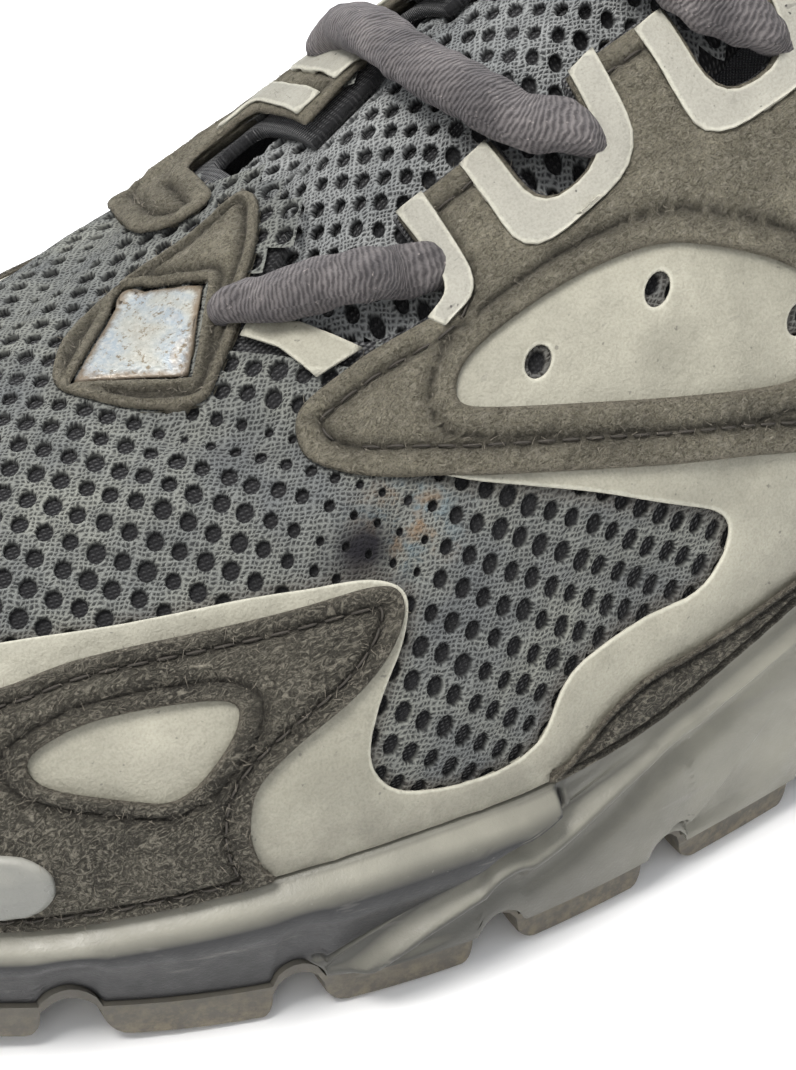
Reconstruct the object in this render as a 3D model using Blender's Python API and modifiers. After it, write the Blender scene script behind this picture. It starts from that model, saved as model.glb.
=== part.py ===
"""Low running shoe for the left foot, standing empty on its sole.

Toe towards -X, outer (lateral) side towards -Y, ground at Z = 0. The upper is one hollow wall
around a last that is lofted from the length, the ball width, the instep and the heel height.
Places on it are given as a station u (distance from the toe as a share of LENGTH, positive on
the lateral side, negative on the medial side) and a rise v (0 at the sole's rim, 1 at the ridge
of the last or at the collar, -1 at the bottom of the cup that the sole forms around the upper).
"""

import math

import bmesh
import bpy
import numpy as np
from mathutils import Vector
from mathutils.geometry import delaunay_2d_cdt

# Driving sizes in metres
LENGTH = 0.300
BALL_WIDTH = 0.108
INSTEP_HEIGHT = 0.112
HEEL_HEIGHT = 0.108
SOLE_HEIGHT = 0.045
TOE_SPRING = 0.012
HEEL_BEVEL = 0.004
LUG_HEIGHT = 0.0045
PLATE = 0.0015
NOTCH_RISE = 0.003
BLADE_DEPTH = 0.0022
BLADE_RUN = 0.016
SEAM_TUCK = 0.0010
LUG_TUCK = 0.0014
RIM_ROUND = 0.0012
SIDE_BELLY = 0.0010
WALL_CHART = 0.020
RIM_LIP = 0.0033
WALL = 0.0024
COLLAR_PAD = 0.0080
COLLAR_CURL = 0.0025
OVERLAY = 0.0008
SUEDE = 0.0010
GUIDE_STRIP = 0.0034
GUIDE_THICKNESS = 0.0006
INSOLE = 0.0035
TONGUE_PAD = 0.0045
TONGUE_RISE = 0.036
LACE_DIAMETER = 0.0056
BUTTON_HEIGHT = 0.0012
VENT_DIAMETER = 0.0032
GAP = 0.0003
INSOLE_PLAY = 0.0008

# Stations where the ribs of the last fan out around the toe and the heel
TOE_FAN = 0.16
HEEL_FAN = 0.86
TOE_AXIS = 0.05
HEEL_AXIS = 0.00
SPRING_START = 0.25
BEVEL_START = 0.95
RIDGE_SLOPE = 0.18
RIB_LEAN = 0.0015
RIB_CHART = 0.095

# Stations where the lugs start, their length, and where the pod rows end across the sole
LUG_FIRST = 0.0150
LUG_PITCH = 0.0805
LUG_SHARE = 0.0605
LUG_COUNT = 12
LUG_INNER = 0.30
LUG_DRAFT = 0.0022

MESH_STEP = 0.0115
EDGE_SHARE = 0.8
OBJECT_NAME = "Left running shoe"

# The sole seen from above: distance from the toe as a share of LENGTH, then the offset from the
# centre line as a share of BALL_WIDTH, lateral side negative
SOLE_OUTLINE = (
    (1.000, -0.010), (0.988, -0.170), (0.950, -0.290), (0.880, -0.375), (0.790, -0.398),
    (0.690, -0.398), (0.590, -0.428), (0.490, -0.468), (0.410, -0.492), (0.330, -0.498),
    (0.240, -0.458), (0.150, -0.365), (0.085, -0.265), (0.033, -0.130), (0.003, 0.060),
    (0.022, 0.220), (0.075, 0.345), (0.160, 0.445), (0.270, 0.497), (0.370, 0.470),
    (0.470, 0.400), (0.570, 0.352), (0.670, 0.348), (0.780, 0.370), (0.880, 0.358),
    (0.950, 0.282), (0.988, 0.160),
)
# Station, then the rim of the sole on the lateral and the medial side, and the depth of the cup
# behind it, as shares of SOLE_HEIGHT
RIM = (
    (0.00, 0.633, 0.633, 0.115), (0.08, 0.522, 0.533, 0.115), (0.16, 0.433, 0.478, 0.115),
    (0.20, 0.458, 0.478, 0.115), (0.25, 0.493, 0.493, 0.115), (0.30, 0.524, 0.511, 0.120),
    (0.35, 0.533, 0.533, 0.125), (0.40, 0.587, 0.573, 0.140), (0.44, 0.680, 0.644, 0.155),
    (0.48, 0.778, 0.722, 0.170), (0.56, 0.878, 0.822, 0.200), (0.66, 0.889, 0.878, 0.235),
    (0.78, 0.922, 0.922, 0.265), (0.90, 0.967, 0.967, 0.285), (1.00, 1.000, 1.000, 0.290),
)
# Station, then the top of each rib: lateral and medial offset as shares of BALL_WIDTH, height as
# shares of INSTEP_HEIGHT and of HEEL_HEIGHT, tilt in degrees, and the fullness of the rib low and
# high on the lateral and on the medial side
RIBS = (
    (0.16, 0.050, 0.050, 0.522, 0.000, 0, 0.50, 0.50, 0.56, 0.56),
    (0.22, 0.055, 0.055, 0.545, 0.000, 0, 0.46, 0.50, 0.55, 0.58),
    (0.28, 0.060, 0.060, 0.580, 0.000, 0, 0.43, 0.50, 0.54, 0.62),
    (0.34, 0.060, 0.060, 0.660, 0.000, 0, 0.42, 0.50, 0.52, 0.64),
    (0.41, 0.060, 0.060, 0.775, 0.000, 0, 0.42, 0.50, 0.50, 0.64),
    (0.48, 0.060, 0.060, 0.885, 0.000, 0, 0.42, 0.48, 0.48, 0.60),
    (0.56, 0.000, 0.110, 0.985, 0.000, 14, 0.42, 0.46, 0.45, 0.52),
    (0.61, -0.110, 0.200, 0.500, 0.490, 40, 0.40, 0.42, 0.42, 0.44),
    (0.66, -0.230, 0.270, 0.000, 0.920, 64, 0.38, 0.40, 0.40, 0.40),
    (0.71, -0.290, 0.300, 0.000, 0.850, 78, 0.36, 0.38, 0.38, 0.38),
    (0.78, -0.300, 0.295, 0.000, 0.820, 84, 0.34, 0.36, 0.36, 0.36),
    (0.86, -0.280, 0.275, 0.000, 0.885, 86, 0.34, 0.34, 0.36, 0.36),
    (0.95, -0.305, 0.305, 0.000, 0.990, 86, 0.34, 0.34, 0.36, 0.36),
    (1.00, -0.315, 0.315, 0.000, 1.000, 86, 0.34, 0.34, 0.36, 0.36),
)

# Throat: its front end on the ridge, and each notch as front, back and depth (u, u, v)
THROAT_FRONT = 0.338
THROAT_TOP = 0.598
LATERAL_NOTCHES = ((0.4060, 0.4355, 0.692), (0.4790, 0.5095, 0.640), (0.5450, 0.5755, 0.610))
MEDIAL_NOTCHES = (
    (0.3340, 0.3605, 0.760), (0.3960, 0.4260, 0.730), (0.4700, 0.5000, 0.680),
    (0.5380, 0.5680, 0.640),
)
LATERAL_TAB_END = ((0.36, 0.829), (0.42, 0.812), (0.49, 0.780), (0.56, 0.765), (0.60, 0.775))
MEDIAL_TAB_END = (
    (0.33, 0.985), (0.38, 0.945), (0.43, 0.915), (0.50, 0.885), (0.56, 0.865), (0.60, 0.860),
)

# Diagonal blades on the sole's side: the station at the bottom and at the rim of each groove,
# and the share of the height over which it runs across, and how much it sags on the way
BLADES = (
    (0.252, 0.354, 0.85, 1.9), (0.406, 0.522, 1.0, 1.1), (0.560, 0.676, 1.0, 1.1),
    (0.715, 0.832, 1.0, 1.1), (0.868, 0.960, 1.0, 1.1),
)
BLADE_EDGE = (-0.004, 0.002)

# Heights above the outside of the wall at which the layers lie
DRAPE_GAP = 0.00065
OVERLAY_LEVEL = DRAPE_GAP + OVERLAY
SUEDE_LEVEL = OVERLAY_LEVEL + DRAPE_GAP + SUEDE
GUIDE_LEVEL = SUEDE_LEVEL + DRAPE_GAP + GUIDE_THICKNESS
BUTTON_LEVEL = GUIDE_LEVEL + GUIDE_THICKNESS
FRAME_LEVEL = DRAPE_GAP + SUEDE
TONGUE_PLAY = 0.0007
LACE_PLAY = 0.0007
TONGUE_LOW = -WALL - TONGUE_PLAY
TONGUE_HIGH = -TONGUE_PLAY
LACE_LOW = TONGUE_LOW + LACE_DIAMETER / 2 + LACE_PLAY
LACE_HIGH = TONGUE_HIGH + LACE_DIAMETER / 2 + LACE_PLAY
EDGE_PLAY = 0.0005
OVERLAY_FOOT = 0.015

# Outlines of the layers on the lateral side, as (u, v) corners
OVERLAY_TOP = (
    (0.08, 0.555), (0.174, 0.540), (0.214, 0.518), (0.260, 0.496), (0.301, 0.450), (0.313, 0.410),
    (0.306, 0.351), (0.290, 0.283), (0.280, 0.195), (0.287, 0.121), (0.306, 0.088), (0.330, 0.079),
    (0.348, 0.098), (0.359, 0.178), (0.373, 0.194), (0.396, 0.185), (0.424, 0.158), (0.438, 0.191),
    (0.438, 0.232), (0.391, 0.370), (0.344, 0.493), (0.326, 0.555), (0.330, 0.640), (0.372, 0.650),
    (0.420, 0.635), (0.490, 0.590), (0.570, 0.560), (0.630, 0.550),
)
VENTS = ((0.434, 0.514), (0.385, 0.548), (0.483, 0.366))
TOE_CAP = (
    (0.08, 0.470), (0.168, 0.464), (0.190, 0.483), (0.211, 0.482), (0.256, 0.464), (0.285, 0.448),
    (0.300, 0.437), (0.309, 0.420), (0.309, 0.385), (0.300, 0.345), (0.285, 0.309), (0.259, 0.267),
    (0.243, 0.227), (0.237, 0.189), (0.234, 0.119), (0.238, 0.037), (0.244, 0.015),
)
TOE_EYE = (
    (0.168, 0.350), (0.190, 0.387), (0.217, 0.384), (0.244, 0.362), (0.238, 0.306), (0.214, 0.216),
    (0.195, 0.250), (0.170, 0.296),
)
TOE_BUTTON = (
    (0.138, 0.060, 0.003), (0.157, 0.046, 0.005), (0.169, 0.085, 0.005), (0.169, 0.150, 0.005),
    (0.157, 0.192, 0.005), (0.138, 0.180, 0.003), (0.128, 0.120, 0.006),
)
FOOT_STRIP = (
    (0.345, 0.015), (0.360, 0.048), (0.374, 0.092), (0.394, 0.111), (0.423, 0.085), (0.470, 0.055),
    (0.510, 0.045), (0.523, 0.015),
)
HEEL_COUNTER = (
    (0.606, 0.015), (0.655, 0.240), (0.720, 0.440), (0.800, 0.590), (0.900, 0.660), (0.970, 0.700),
)
SADDLE_FRONT = (
    (0.2965, 0.636, 0.005), (0.300, 0.695, 0.004), (0.320, 0.698, 0.004), (0.336, 0.697, 0.004),
    (0.3675, 0.673, 0.003), (0.3648, 0.817, 0.001),
)
SADDLE_FRONT_MEDIAL = (
    (-0.294, 0.851, 0.004), (-0.305, 0.925, 0.003), (-0.324, 0.935, 0.003), (-0.331, 0.745, 0.004),
    (-0.3615, 0.740, 0.004), (-0.3630, 0.948, 0.001),
)
SADDLE_BACK = (
    (0.593, 0.760, 0.003), (0.604, 0.860, 0.004), (0.622, 0.900, 0.004), (0.634, 0.780, 0.02),
    (0.615, 0.50, 0.0),
)
SADDLE_FOOT = (
    (0.600, 0.25, 0.0), (0.588, 0.015, 0.0), (0.536, 0.015, 0.0), (0.515, 0.125, 0.01),
    (0.473, 0.226, 0.0), (0.394, 0.393, 0.0), (0.341, 0.502, 0.006), (0.309, 0.581, 0.004),
)
SADDLE_WINDOW = (
    (0.351, 0.575), (0.362, 0.615), (0.403, 0.602), (0.438, 0.561), (0.462, 0.495), (0.488, 0.416),
    (0.510, 0.310), (0.477, 0.301), (0.438, 0.378), (0.408, 0.443), (0.366, 0.534),
)
THROAT_BAND = (
    (0.3045, 0.843), (0.299, 0.833), (0.308, 0.780), (0.314, 0.713), (0.333, 0.706), (0.319, 0.790),
)

# Outlines across the ridge: station, then the share of the rib away from the ridge
BADGE_FRAME = (
    (0.229, 0.085, 0.004), (0.251, 0.182, 0.004), (0.277, 0.229, 0.003), (0.287, 0.194),
    (0.3015, 0.150), (0.306, 0.118), (0.322, 0.072, 0.003), (0.3345, -0.002, 0.003),
    (0.331, -0.035, 0.003), (0.308, -0.030, 0.003), (0.278, -0.038, 0.003), (0.245, 0.010, 0.003),
)
BADGE_HOLE = ((0.2372, 0.097), (0.2765, 0.182), (0.3015, 0.066), (0.276, -0.023))
BADGE = ((0.239, 0.097), (0.276, 0.176), (0.299, 0.066), (0.2755, -0.016))
FIRST_GUIDE = (
    (0.3655, 0.815), (0.3685, 0.690, 0.003), (0.357, 0.680), (0.361, 0.655), (0.378, 0.663, 0.004),
    (0.3765, 0.812),
)
FIRST_GUIDE_MEDIAL = (
    (-0.3640, 0.925), (-0.3650, 0.740, 0.004), (-0.352, 0.730), (-0.352, 0.700),
    (-0.376, 0.705, 0.004), (-0.3750, 0.925),
)

# Tongue: half-width by station, place of its middle, and its route above the throat
TONGUE_CENTRE = 0.060
TONGUE_HALF = ((0.30, 0.017), (0.34, 0.024), (0.50, 0.026), (0.545, 0.0165), (0.56, 0.0150))
TONGUE_COLUMNS = (-1, -0.72, -0.46, -0.28, -0.1, 0.1, 0.28, 0.46, 0.72, 1)
TONGUE_PATH = (
    (0.12, 0.03, 1.0), (0.24, 0.16, 1.04), (0.36, 0.40, 1.25), (0.44, 0.68, 1.48),
    (0.49, 0.90, 1.50), (0.51, 1.0, 1.40),
)
LACE_FRONT = (
    (0.323, 0.118, LACE_HIGH + 0.0020), (0.332, 0.147, LACE_HIGH + 0.0008),
    (0.341, 0.180, LACE_HIGH), (0.350, 0.213, LACE_HIGH - 0.0010),
    (0.357, 0.240, LACE_HIGH - 0.0020),
)


# Curves and tables


def spline_bends(knots, points):
    """Second derivatives of a closed cubic curve through the points."""
    count = len(points)
    spans = np.diff(np.append(knots, knots[-1] + np.linalg.norm(points[0] - points[-1])))
    matrix = np.zeros((count, count))
    right = np.zeros_like(points)
    for i in range(count):
        before, after = spans[i - 1], spans[i]
        matrix[i, i - 1] += before
        matrix[i, i] += 2 * (before + after)
        matrix[i, (i + 1) % count] += after
        ahead = (points[(i + 1) % count] - points[i]) / after
        behind = (points[i] - points[i - 1]) / before
        right[i] = 6 * (ahead - behind)
    return spans, np.linalg.solve(matrix, right)


def closed_curve(points, steps=24):
    """A smooth closed curve through the points, with this many steps from each to the next."""
    points = np.array(points, float)
    chords = np.linalg.norm(points - np.roll(points, 1, axis=0), axis=1)
    knots = np.concatenate([[0], np.cumsum(chords[1:])])
    spans, bends = spline_bends(knots, points)
    curve = []
    for i, start in enumerate(points):
        j = (i + 1) % len(points)
        for step in range(steps):
            t = step / steps
            s = 1 - t
            bow = spans[i] ** 2 / 6 * ((s**3 - s) * bends[i] + (t**3 - t) * bends[j])
            curve.append(s * start + t * points[j] + bow)
    return np.array(curve)


def table(rows, x):
    """Smooth values between the rows of a table whose first column is x."""
    rows = np.array(rows, float)
    keys, values = rows[:, 0], rows[:, 1:]
    slopes = np.gradient(values, keys, axis=0)
    x = np.asarray(x, float)
    i = np.clip(np.searchsorted(keys, x) - 1, 0, len(keys) - 2)
    span = keys[i + 1] - keys[i]
    t = np.clip((x - keys[i]) / span, 0, 1)[..., None]
    span = span[..., None]
    start, end = values[i], values[i + 1]
    found = (2 * t**3 - 3 * t**2 + 1) * start + (3 * t**2 - 2 * t**3) * end
    found += (t**3 - 2 * t**2 + t) * slopes[i] * span + (t**3 - t**2) * slopes[i + 1] * span
    return found[..., 0] if values.shape[1] == 1 else found


def ease(x, low, high):
    """0 below low, 1 above high, and a soft step between them."""
    t = np.clip((np.asarray(x, float) - low) / (high - low), 0, 1)
    return t * t * (3 - 2 * t)


def by_side(values, u):
    """The first column on the lateral side, the second on the medial side."""
    return np.where(np.asarray(u) >= 0, values[..., 0], values[..., 1])


# The sole's outline


def inset_curve(curve, inset):
    tangent = np.roll(curve, -1, axis=0) - np.roll(curve, 1, axis=0)
    tangent /= np.linalg.norm(tangent, axis=1)[:, None]
    normal = np.stack([-tangent[:, 1], tangent[:, 0]], axis=1)
    if np.mean(np.sum((curve.mean(axis=0) - curve) * normal, axis=1)) < 0:
        normal = -normal
    return curve + normal * inset


def read_outline(curve):
    """The outline as reach by angle around the two fans' centres, and as y by x on each side."""
    fans = []
    for station, axis, sign in ((TOE_FAN, TOE_AXIS, -1), (HEEL_FAN, HEEL_AXIS, 1)):
        centre = np.array([(station - 0.5) * LENGTH, axis * BALL_WIDTH])
        reach = curve - centre
        angle = np.arctan2(-reach[:, 1], sign * reach[:, 0])
        order = np.argsort(angle)
        fans.append((centre, sign, angle[order], np.linalg.norm(reach, axis=1)[order]))
    runs = []
    for side in (1, -1):
        run = curve[curve[:, 1] * -side > 0]
        run = run[np.argsort(run[:, 0])]
        runs.append((side, run[:, 0], run[:, 1]))
    return fans, runs


# The outline in metres, and what is read from it on its own line and well inside it
INSET_REACH = 0.010
OUTER_CURVE = closed_curve(SOLE_OUTLINE) * (LENGTH, BALL_WIDTH) - (0.5 * LENGTH, 0)
OUTER_CURVE[:, 0] -= (OUTER_CURVE[:, 0].max() + OUTER_CURVE[:, 0].min()) / 2
OUTER_CURVE[:, 1] -= (OUTER_CURVE[:, 1].max() + OUTER_CURVE[:, 1].min()) / 2
OUTER_READ = read_outline(OUTER_CURVE)
INNER_READ = read_outline(inset_curve(OUTER_CURVE, INSET_REACH))


def in_fans(along):
    """Which stations lie in the toe fan, and which in the heel fan."""
    return along < TOE_FAN - 1e-6, along > HEEL_FAN + 1e-6


def read_plan(read, u):
    fans, runs = read
    along = np.abs(u)
    side = np.where(u < 0, -1.0, 1.0)
    place = np.zeros((len(u), 2))
    out = np.zeros((len(u), 2))
    shares = (along / TOE_FAN, (1 - along) / (1 - HEEL_FAN))
    chosen_fans = in_fans(along)
    for (centre, sign, angles, reaches), share, chosen in zip(fans, shares, chosen_fans):
        turn = (side * share)[chosen] * math.pi / 2
        reach = np.interp(turn, angles, reaches, period=2 * math.pi)
        out[chosen] = np.stack([sign * np.cos(turn), -np.sin(turn)], axis=1)
        place[chosen] = centre + reach[:, None] * out[chosen]
    middle = ~(chosen_fans[0] | chosen_fans[1])
    for run_side, xs, ys in runs:
        chosen = middle & (side == run_side)
        place[chosen, 0] = (along[chosen] - 0.5) * LENGTH
        place[chosen, 1] = np.interp(place[chosen, 0], xs, ys)
        out[chosen, 1] = -run_side
    return place, out


def plan_point(u, inset=0.0):
    """Places on the outline moved inwards by inset, and the outward directions of the ribs."""
    u = wrapped(np.atleast_1d(np.asarray(u, float)))
    outer, out = read_plan(OUTER_READ, u)
    inner, _ = read_plan(INNER_READ, u)
    share = np.broadcast_to(np.asarray(inset, float) / INSET_REACH, u.shape)
    return outer + (inner - outer) * share[:, None], out


def wrapped(u):
    """Stations past the heel seam come round on the other side."""
    u = np.asarray(u, float)
    return np.where(u > 1, u - 2, np.where(u < -1, u + 2, u))


def rim_height(u):
    return by_side(table(RIM, np.abs(wrapped(u)))[..., 0:2], wrapped(u)) * SOLE_HEIGHT


def cup_depth(u):
    return table(RIM, np.abs(wrapped(u)))[..., 2] * SOLE_HEIGHT


def ground_height(u):
    """The underside of the lugs: toe spring in front, a small bevel at the heel."""
    along = np.abs(wrapped(u))
    toe = np.clip(1 - along / SPRING_START, 0, 1) ** 2 * TOE_SPRING
    heel = np.clip((along - BEVEL_START) / (1 - BEVEL_START), 0, 1) ** 2 * HEEL_BEVEL
    return toe + heel


# The last's surface


def rib_controls(u):
    along = np.abs(u)
    base, out = plan_point(u, RIM_LIP)
    row = table(RIBS, np.clip(along, TOE_FAN, 1.0))
    top_y = by_side(row[:, 0:2], u) * BALL_WIDTH
    top_z = row[:, 2] * INSTEP_HEIGHT + row[:, 3] * HEEL_HEIGHT
    tilt = np.radians(row[:, 4])
    low_fullness = by_side(row[:, 5:7], u)
    high_fullness = by_side(row[:, 7:9], u)
    foot = np.column_stack([base, rim_height(u)])
    top = np.column_stack([(along - 0.5) * LENGTH, top_y, top_z])
    toe, heel = in_fans(along)
    top[toe, 0] = (TOE_FAN - 0.5) * LENGTH
    centre = np.array([(HEEL_FAN - 0.5) * LENGTH, HEEL_AXIS * BALL_WIDTH])
    top[heel, :2] = centre + out[heel] * np.abs(top_y[heel])[:, None]
    tangent = np.column_stack([out * np.cos(tilt)[:, None], -np.sin(tilt)])
    tangent[:, 2] -= RIDGE_SLOPE * np.where(toe, np.maximum(-out[:, 0], 0), 0)
    span = np.linalg.norm(top[:, :2] - foot[:, :2], axis=1)
    rise = top[:, 2] - foot[:, 2]
    upright = np.clip(tilt / math.radians(60), 0, 1)
    chord = span * (1 - upright) + np.hypot(span, rise) * upright
    high = top + tangent * (high_fullness * chord)[:, None]
    low = foot + np.column_stack([out * RIB_LEAN, low_fullness * rise])
    return foot, low, high, top


def upper_point(u, v):
    """Places on the outside of the upper's wall."""
    u, v = np.broadcast_arrays(wrapped(np.asarray(u, float)), np.asarray(v, float))
    shape = u.shape
    foot, low, high, top = rib_controls(u.ravel())
    t = np.maximum(v.ravel(), 0)[:, None]
    s = 1 - t
    place = s**3 * foot + 3 * s**2 * t * low + 3 * s * t**2 * high + t**3 * top
    place[:, 2] += np.minimum(v.ravel(), 0) * cup_depth(u.ravel())
    return place.reshape(shape + (3,))


def upper_normal(u, v):
    step = 2e-4
    u = np.asarray(u, float)
    v = np.minimum(np.asarray(v, float), 0.995)
    along = upper_point(u + step, v) - upper_point(u - step, v)
    upward = upper_point(u, v + step) - upper_point(u, v - step)
    normal = np.cross(along, upward)
    return normal / np.linalg.norm(normal, axis=-1, keepdims=True)


def raised(u, v, level):
    """Places this far out from the wall's outside; negative levels lie inside the shoe."""
    return upper_point(u, v) + upper_normal(u, v) * np.asarray(level)[..., None]


# Patches cut from the last's surface


def rounded(corners, metric, steps=2):
    """A closed polygon from corners (x, y, radius), with arcs at the corners that have a radius."""
    places = [np.array(corner[:2]) for corner in corners]
    polygon = []
    for i, corner in enumerate(corners):
        here = places[i]
        sides = [places[i - 1] - here, places[(i + 1) % len(places)] - here]
        radius = corner[2] if len(corner) > 2 else 0
        if radius == 0:
            polygon.append(tuple(here))
            continue
        lengths = [np.linalg.norm(side * metric) for side in sides]
        starts = [here + side * min(radius / length, 0.45) for side, length in zip(sides, lengths)]
        for step in range(steps + 1):
            t = step / steps
            spot = (1 - t) ** 2 * starts[0] + 2 * (1 - t) * t * here + t**2 * starts[1]
            polygon.append(tuple(spot))
    return polygon


def divided(polygon, step, closed=True):
    """The polygon with no edge longer than step."""
    polygon = np.array(polygon, float)
    count = len(polygon) if closed else len(polygon) - 1
    spots = []
    for i in range(count):
        start, end = polygon[i], polygon[(i + 1) % len(polygon)]
        pieces = max(1, math.ceil(np.linalg.norm(end - start) / step - 0.3))
        for piece in range(pieces):
            spots.append(tuple(start + (end - start) * piece / pieces))
    if not closed:
        spots.append(tuple(polygon[-1]))
    return spots


def inside(spots, loops):
    """Which spots lie inside an odd number of the loops."""
    spots = np.asarray(spots, float)
    odd = np.zeros(len(spots), bool)
    for loop in loops:
        loop = np.asarray(loop, float)
        ends = np.roll(loop, -1, axis=0)
        for (x0, y0), (x1, y1) in zip(loop, ends):
            if y0 == y1:
                continue
            crosses = (spots[:, 1] < y0) != (spots[:, 1] < y1)
            odd ^= crosses & (spots[:, 0] < x0 + (spots[:, 1] - y0) * (x1 - x0) / (y1 - y0))
    return odd


def clearance(spots, loops):
    """Distance of each spot to the nearest edge of the loops."""
    spots = np.asarray(spots, float)
    nearest = np.full(len(spots), 1e9)
    for loop in loops:
        loop = np.asarray(loop, float)
        for start, end in zip(loop, np.roll(loop, -1, axis=0)):
            side = end - start
            length = max(side @ side, 1e-18)
            t = np.clip((spots - start) @ side / length, 0, 1)
            nearest = np.minimum(nearest, np.linalg.norm(spots - start - t[:, None] * side, axis=1))
    return nearest


def triangulated(loops, chains, spots):
    """Triangles that fill the space between the loops and keep the chains as edges."""
    places, edges = [], []
    for line, closed in [(loop, True) for loop in loops] + [(chain, False) for chain in chains]:
        first = len(places)
        places += [Vector(spot) for spot in line]
        edges += [(first + i, first + i + 1) for i in range(len(line) - 1)]
        if closed:
            edges.append((first + len(line) - 1, first))
    places += [Vector(spot) for spot in spots]
    found = delaunay_2d_cdt(places, edges, [], 0, 1e-7)
    places = np.array([tuple(place) for place in found[0]])
    faces = np.array([tuple(face) for face in found[2]])
    return places, faces[inside(places[faces].mean(axis=1), loops)]


def grid_spots(loops, step, place=None):
    """Spots of a staggered grid inside the loops, thinned where the surface draws together."""
    every = np.concatenate([np.asarray(loop) for loop in loops])
    pitch = np.array([step, step * 0.87])
    low = np.floor(every.min(axis=0) / pitch).astype(int)
    high = np.ceil(every.max(axis=0) / pitch).astype(int)
    spots = []
    for row in range(low[1], high[1] + 1):
        for column in range(low[0] - 1, high[0] + 1):
            spots.append(((column + 0.5 * (row % 2)) * pitch[0], (row + 0.5) * pitch[1]))
    spots = np.array(spots)
    spots = spots[inside(spots, loops)]
    spots = spots[clearance(spots, loops) > 0.55 * step]
    if place is None or len(spots) == 0:
        return [tuple(spot) for spot in spots]
    kept, held = [], []
    for spot, here in zip(spots, place(spots)):
        if held and np.min(np.linalg.norm(np.array(held) - here, axis=1)) < 0.62 * step:
            continue
        kept.append(tuple(spot))
        held.append(here)
    return kept


# Blender objects


def make_material(name, colour, roughness, metallic=0.0):
    material = bpy.data.materials.new(name)
    material.use_nodes = True
    shader = material.node_tree.nodes["Principled BSDF"]
    shader.inputs["Base Color"].default_value = (*colour, 1)
    shader.inputs["Roughness"].default_value = roughness
    shader.inputs["Metallic"].default_value = metallic
    return material


def make_object(name, places, faces, material, weld=True):
    """An object from places and faces, with coincident places joined."""
    mesh = bpy.data.meshes.new(name)
    mesh.from_pydata([tuple(place) for place in places], [], [tuple(face) for face in faces])
    shell = bmesh.new()
    shell.from_mesh(mesh)
    if weld:
        bmesh.ops.remove_doubles(shell, verts=shell.verts, dist=1e-6)
    bmesh.ops.dissolve_degenerate(shell, dist=1e-7, edges=shell.edges)
    loose = [vert for vert in shell.verts if not vert.link_faces]
    bmesh.ops.delete(shell, geom=loose, context="VERTS")
    if not any(edge.is_boundary for edge in shell.edges):
        bmesh.ops.recalc_face_normals(shell, faces=shell.faces)
    shell.to_mesh(mesh)
    shell.free()
    mesh.materials.append(material)
    piece = bpy.data.objects.new(name, mesh)
    bpy.data.collections[OBJECT_NAME].objects.link(piece)
    mesh.shade_smooth()
    mesh.set_sharp_from_angle(angle=math.radians(40))
    return piece


def thicken(piece, thickness, group=""):
    """A wall of this thickness behind the outer face."""
    solidify = piece.modifiers.new("wall", "SOLIDIFY")
    solidify.thickness = thickness
    solidify.offset = -1
    solidify.use_even_offset = False
    solidify.use_quality_normals = True
    solidify.vertex_group = group


SIDE_METRIC = np.array([LENGTH, RIB_CHART])
CUP_CHART = 0.1
FAN_STRETCH = 1.5
CHART_STATIONS = np.array([0, TOE_FAN, HEEL_FAN, 2 - HEEL_FAN, 2 - TOE_FAN])
CHART_SLOPES = np.array([FAN_STRETCH, 1, FAN_STRETCH, 1])
CHART_REACH = np.concatenate([[0], np.cumsum(np.diff(CHART_STATIONS) * CHART_SLOPES)])


def side_chart(spots):
    """Stations and rises laid out flat: wider in the fans, drawn together down in the cup."""
    spots = np.array([spot[:2] for spot in spots], float)
    reach = np.sign(spots[:, 0]) * np.interp(np.abs(spots[:, 0]), CHART_STATIONS, CHART_REACH)
    rise = np.where(spots[:, 1] < 0, spots[:, 1] * CUP_CHART, spots[:, 1])
    return np.column_stack([reach, rise]) * SIDE_METRIC


def from_chart(spots):
    spots = np.asarray(spots) / SIDE_METRIC
    station = np.sign(spots[:, 0]) * np.interp(np.abs(spots[:, 0]), CHART_REACH, CHART_STATIONS)
    rise = np.where(spots[:, 1] < 0, spots[:, 1] / CUP_CHART, spots[:, 1])
    return np.column_stack([station, np.where(np.abs(rise) < 1e-9, 0, rise)])


def top_chart(spots):
    return np.array([spot[:2] for spot in spots], float) * SIDE_METRIC


def side_place(spots, level):
    spots = from_chart(spots)
    return raised(spots[:, 0], spots[:, 1], np.full(len(spots), level))


def top_place(spots, level):
    """Spots of the chart across the ridge: station, then share of the rib away from the ridge."""
    spots = np.asarray(spots) / SIDE_METRIC
    u = spots[:, 0] * np.where(spots[:, 1] < 0, -1, 1)
    return raised(u, 1 - np.abs(spots[:, 1]), np.full(len(spots), level))


def patch(name, loops, level, thickness, material, chart=side_chart, place=side_place):
    """A sheet between the loops of (x, y, radius) corners, its outer face at this level."""
    step = MESH_STEP
    charts = [divided(chart(rounded(loop, SIDE_METRIC)), EDGE_SHARE * step) for loop in loops]
    spots = grid_spots(charts, step, lambda found: place(found, level))
    spots, faces = triangulated(charts, [], spots)
    places = place(spots, level)
    if place is top_place:
        faces = faces[:, ::-1]
    piece = make_object(name, places, faces, material)
    thicken(piece, thickness)
    return piece


def mirrored(loop):
    """The same loop on the other side of the shoe."""
    return [(-corner[0],) + tuple(corner[1:]) for corner in reversed(loop)]


# Sole


def lug_edges():
    """Front and back station of each lug along the sole's edge."""
    edges = []
    for i in range(LUG_COUNT):
        front = LUG_FIRST + i * LUG_PITCH
        edges.append((front, min(front + LUG_SHARE, 0.985)))
    return edges


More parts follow.
